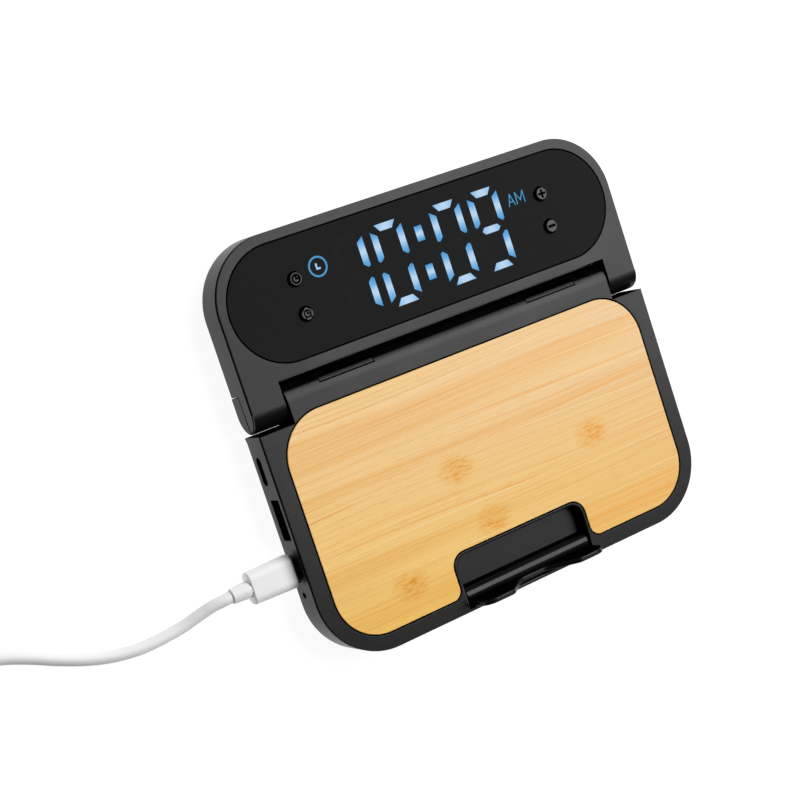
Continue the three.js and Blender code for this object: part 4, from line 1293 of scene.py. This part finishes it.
def knuckle_flat():
    """What is cut off the knuckle, to leave a narrow flat that leans away from the ledge."""
    lean = Vector((sin(KNUCKLE_FLAT.tilt), cos(KNUCKLE_FLAT.tilt)))
    along = Vector((lean.y, -lean.x))
    middle = Vector((LEDGE.y, LEDGE.z)) + lean * (LEDGE.r - KNUCKLE_FLAT.depth)
    corners = [middle - along, middle + along, middle + along + lean, middle - along + lean]
    return prism([tuple(corner) for corner in corners], -BIG, BIG, "X")


def phone_ledge():
    half, y, z = LEDGE.half, LEDGE.y, LEDGE.z
    corner = (half, LEDGE.top, LEDGE.corner)
    rim = (SCOOP.top, LEDGE.top, SCOOP.top_corner)
    floor = (SCOOP.bottom, SCOOP.z, SCOOP.bottom_corner)
    face = outline((-half, z), (half, z), corner, rim, floor,
                   *[(-x, up, r) for x, up, r in (floor, rim, corner)])
    body = join(prism(face, LEDGE.outer, LEDGE.inner, "Y"), rod(y, z, LEDGE.r, -half, half, "X"))
    cut(body, rod(y, z, PIN_R + SEAM, -BIG, BIG, "X"), knuckle_flat())
    return rounded(body, OUTER_EDGE, lambda p: p.z > FACE + 0.5)


def screw(x, y, length):
    """A screw driven from the back, with a cross slot in its head."""
    z, r, head_r = SCREW.z, SCREW.r, SCREW.head_r
    neck = z + SCREW.head
    crown = [(head_r - inwards, z + up) for inwards, up in SCREW_CROWN]
    body = turned([(0, z), *crown, (head_r, neck), (r, neck), (r, neck + length), (0, neck + length)], x, y)
    long, wide = SCREW_SLOT.reach, SCREW_SLOT.half_width
    return cut(body, *[block(x - a, x + a, y - b, y + b, z - PAST, z + SCREW_SLOT.depth)
                       for a, b in ((long, wide), (wide, long))])


def foot(x, y, r):
    edge = [(r - inwards, up) for inwards, up in FOOT_EDGE]
    top = BACK + SEAM
    return turned([(0, FOOT_HOLLOW), *edge, (r, top), (0, top)], x, y)


def build_base():
    finished(base_top_cover(), "base_cover_fine", "base", "cover_plastic", ["base_top_cover"],
             is_painted_shade_face_of_cover)
    stand_in(base_housing(), "base_housing", "base", "housing_plastic", is_painted_shade_face_of_base)
    stand_in(bamboo_plate(), "bamboo_plate", "base", "bamboo",
             lambda p, n: p.z < FACE - BAMBOO_EDGE - TIGHT, "bamboo_edge")
    # The ledge's inner face, which holds the phone, is matt black: painted shade.
    stand_in(phone_ledge(), "phone_ledge", "ledge", "cover_plastic",
             lambda p, n: n.y > FACING and abs(p.y - LEDGE.inner) < LOOSE)


def build_small_parts():
    """The pieces that come in twos or fours."""
    for i, (name, side) in enumerate(SIDES):
        stand_in(barrel_strip(side), f"barrel_strip_{name}", "base", "cover_plastic")
        stand_in(screw(*EAR_SCREWS[i], SCREW.ear_length), f"ear_screw_{name}", "display", "steel")
        stand_in(screw(*DISPLAY_SCREWS[i], SCREW.length), f"display_screw_{name}", "display", "steel")
        stand_in(foot(*DISPLAY_FEET[i], DISPLAY_FOOT_R), f"display_foot_{name}", "display", "rubber")
    for i in range(4):
        stand_in(screw(*BASE_SCREWS[i], SCREW.length), f"base_screw_{i + 1}", "base", "steel")
        stand_in(foot(*BASE_FEET[i], BASE_FOOT_R), f"base_foot_{i + 1}", "base", "rubber")


# ---- CAD nodes that stay

NODE_LOOKS = {  # by how the nodes' names begin
    "steel": ("hinge_shaft", "hinge_clip", "ledge_pin", "backup_cell", "usb_c_socket", "usb_a_socket",
              "usb_c_plug_sleeve", "usb_a_plug_sleeve"),
    "black_plastic": ("hinge_wires", "digit_module", "buzzer", "switch"),
    "board": ("display_board", "base_board"),
    "copper": ("charging_coil",),
    "ferrite": ("ferrite_sheet",),
    "light_pipe": ("indicator_light_pipe",),
}


def dress_nodes():
    for look, starts in NODE_LOOKS.items():
        for node in [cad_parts[name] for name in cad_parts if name.startswith(starts)]:
            node.data.materials.clear()
            node.data.materials.append(LOOKS[look].material)


# ---- floor and light, in metres

FLOOR_HALF = 25
FLOOR_TONE = (0.15, 0.15, 0.15, 1)
FLOOR_GLOW = 0.94
WHITE = (1, 1, 1, 1)
KEY_LIGHT = Sizes(place=(0.75, 0.45, 1.0), width=1.0, length=1.3, power=29)
WORLD_STRENGTH = 0.04


def pale_floor():
    mesh = bpy.data.meshes.new("floor")
    s = FLOOR_HALF
    mesh.from_pydata([(-s, -s, 0), (s, -s, 0), (s, s, 0), (-s, s, 0)], [], [(0, 1, 2, 3)])
    placed("floor", mesh)
    look = Look("floor", Roughness=0.9, Specular_IOR_Level=0.1, Base_Color=FLOOR_TONE,
                Emission_Color=WHITE, Emission_Strength=FLOOR_GLOW)
    mesh.materials.append(look.material)


def key_light():
    """A softbox to the right, facing straight down."""
    data = bpy.data.lights.new("key", "AREA")
    data.shape = "RECTANGLE"
    data.size = KEY_LIGHT.width
    data.size_y = KEY_LIGHT.length
    data.energy = KEY_LIGHT.power
    placed("key", data).location = KEY_LIGHT.place


def surroundings():
    world = bpy.data.worlds.new("world")
    world.use_nodes = True
    background = world.node_tree.nodes["Background"]
    background.inputs["Color"].default_value = WHITE
    background.inputs["Strength"].default_value = WORLD_STRENGTH
    bpy.context.scene.world = world
    bpy.context.scene.view_settings.view_transform = "Standard"


# ---- everything

cable_piece = cable()
plugs = build_plugs()
tie = build_tie()
build_display()
build_time()
build_display_symbols()
build_base()
build_small_parts()
dress_nodes()
pale_floor()
key_light()
surroundings()
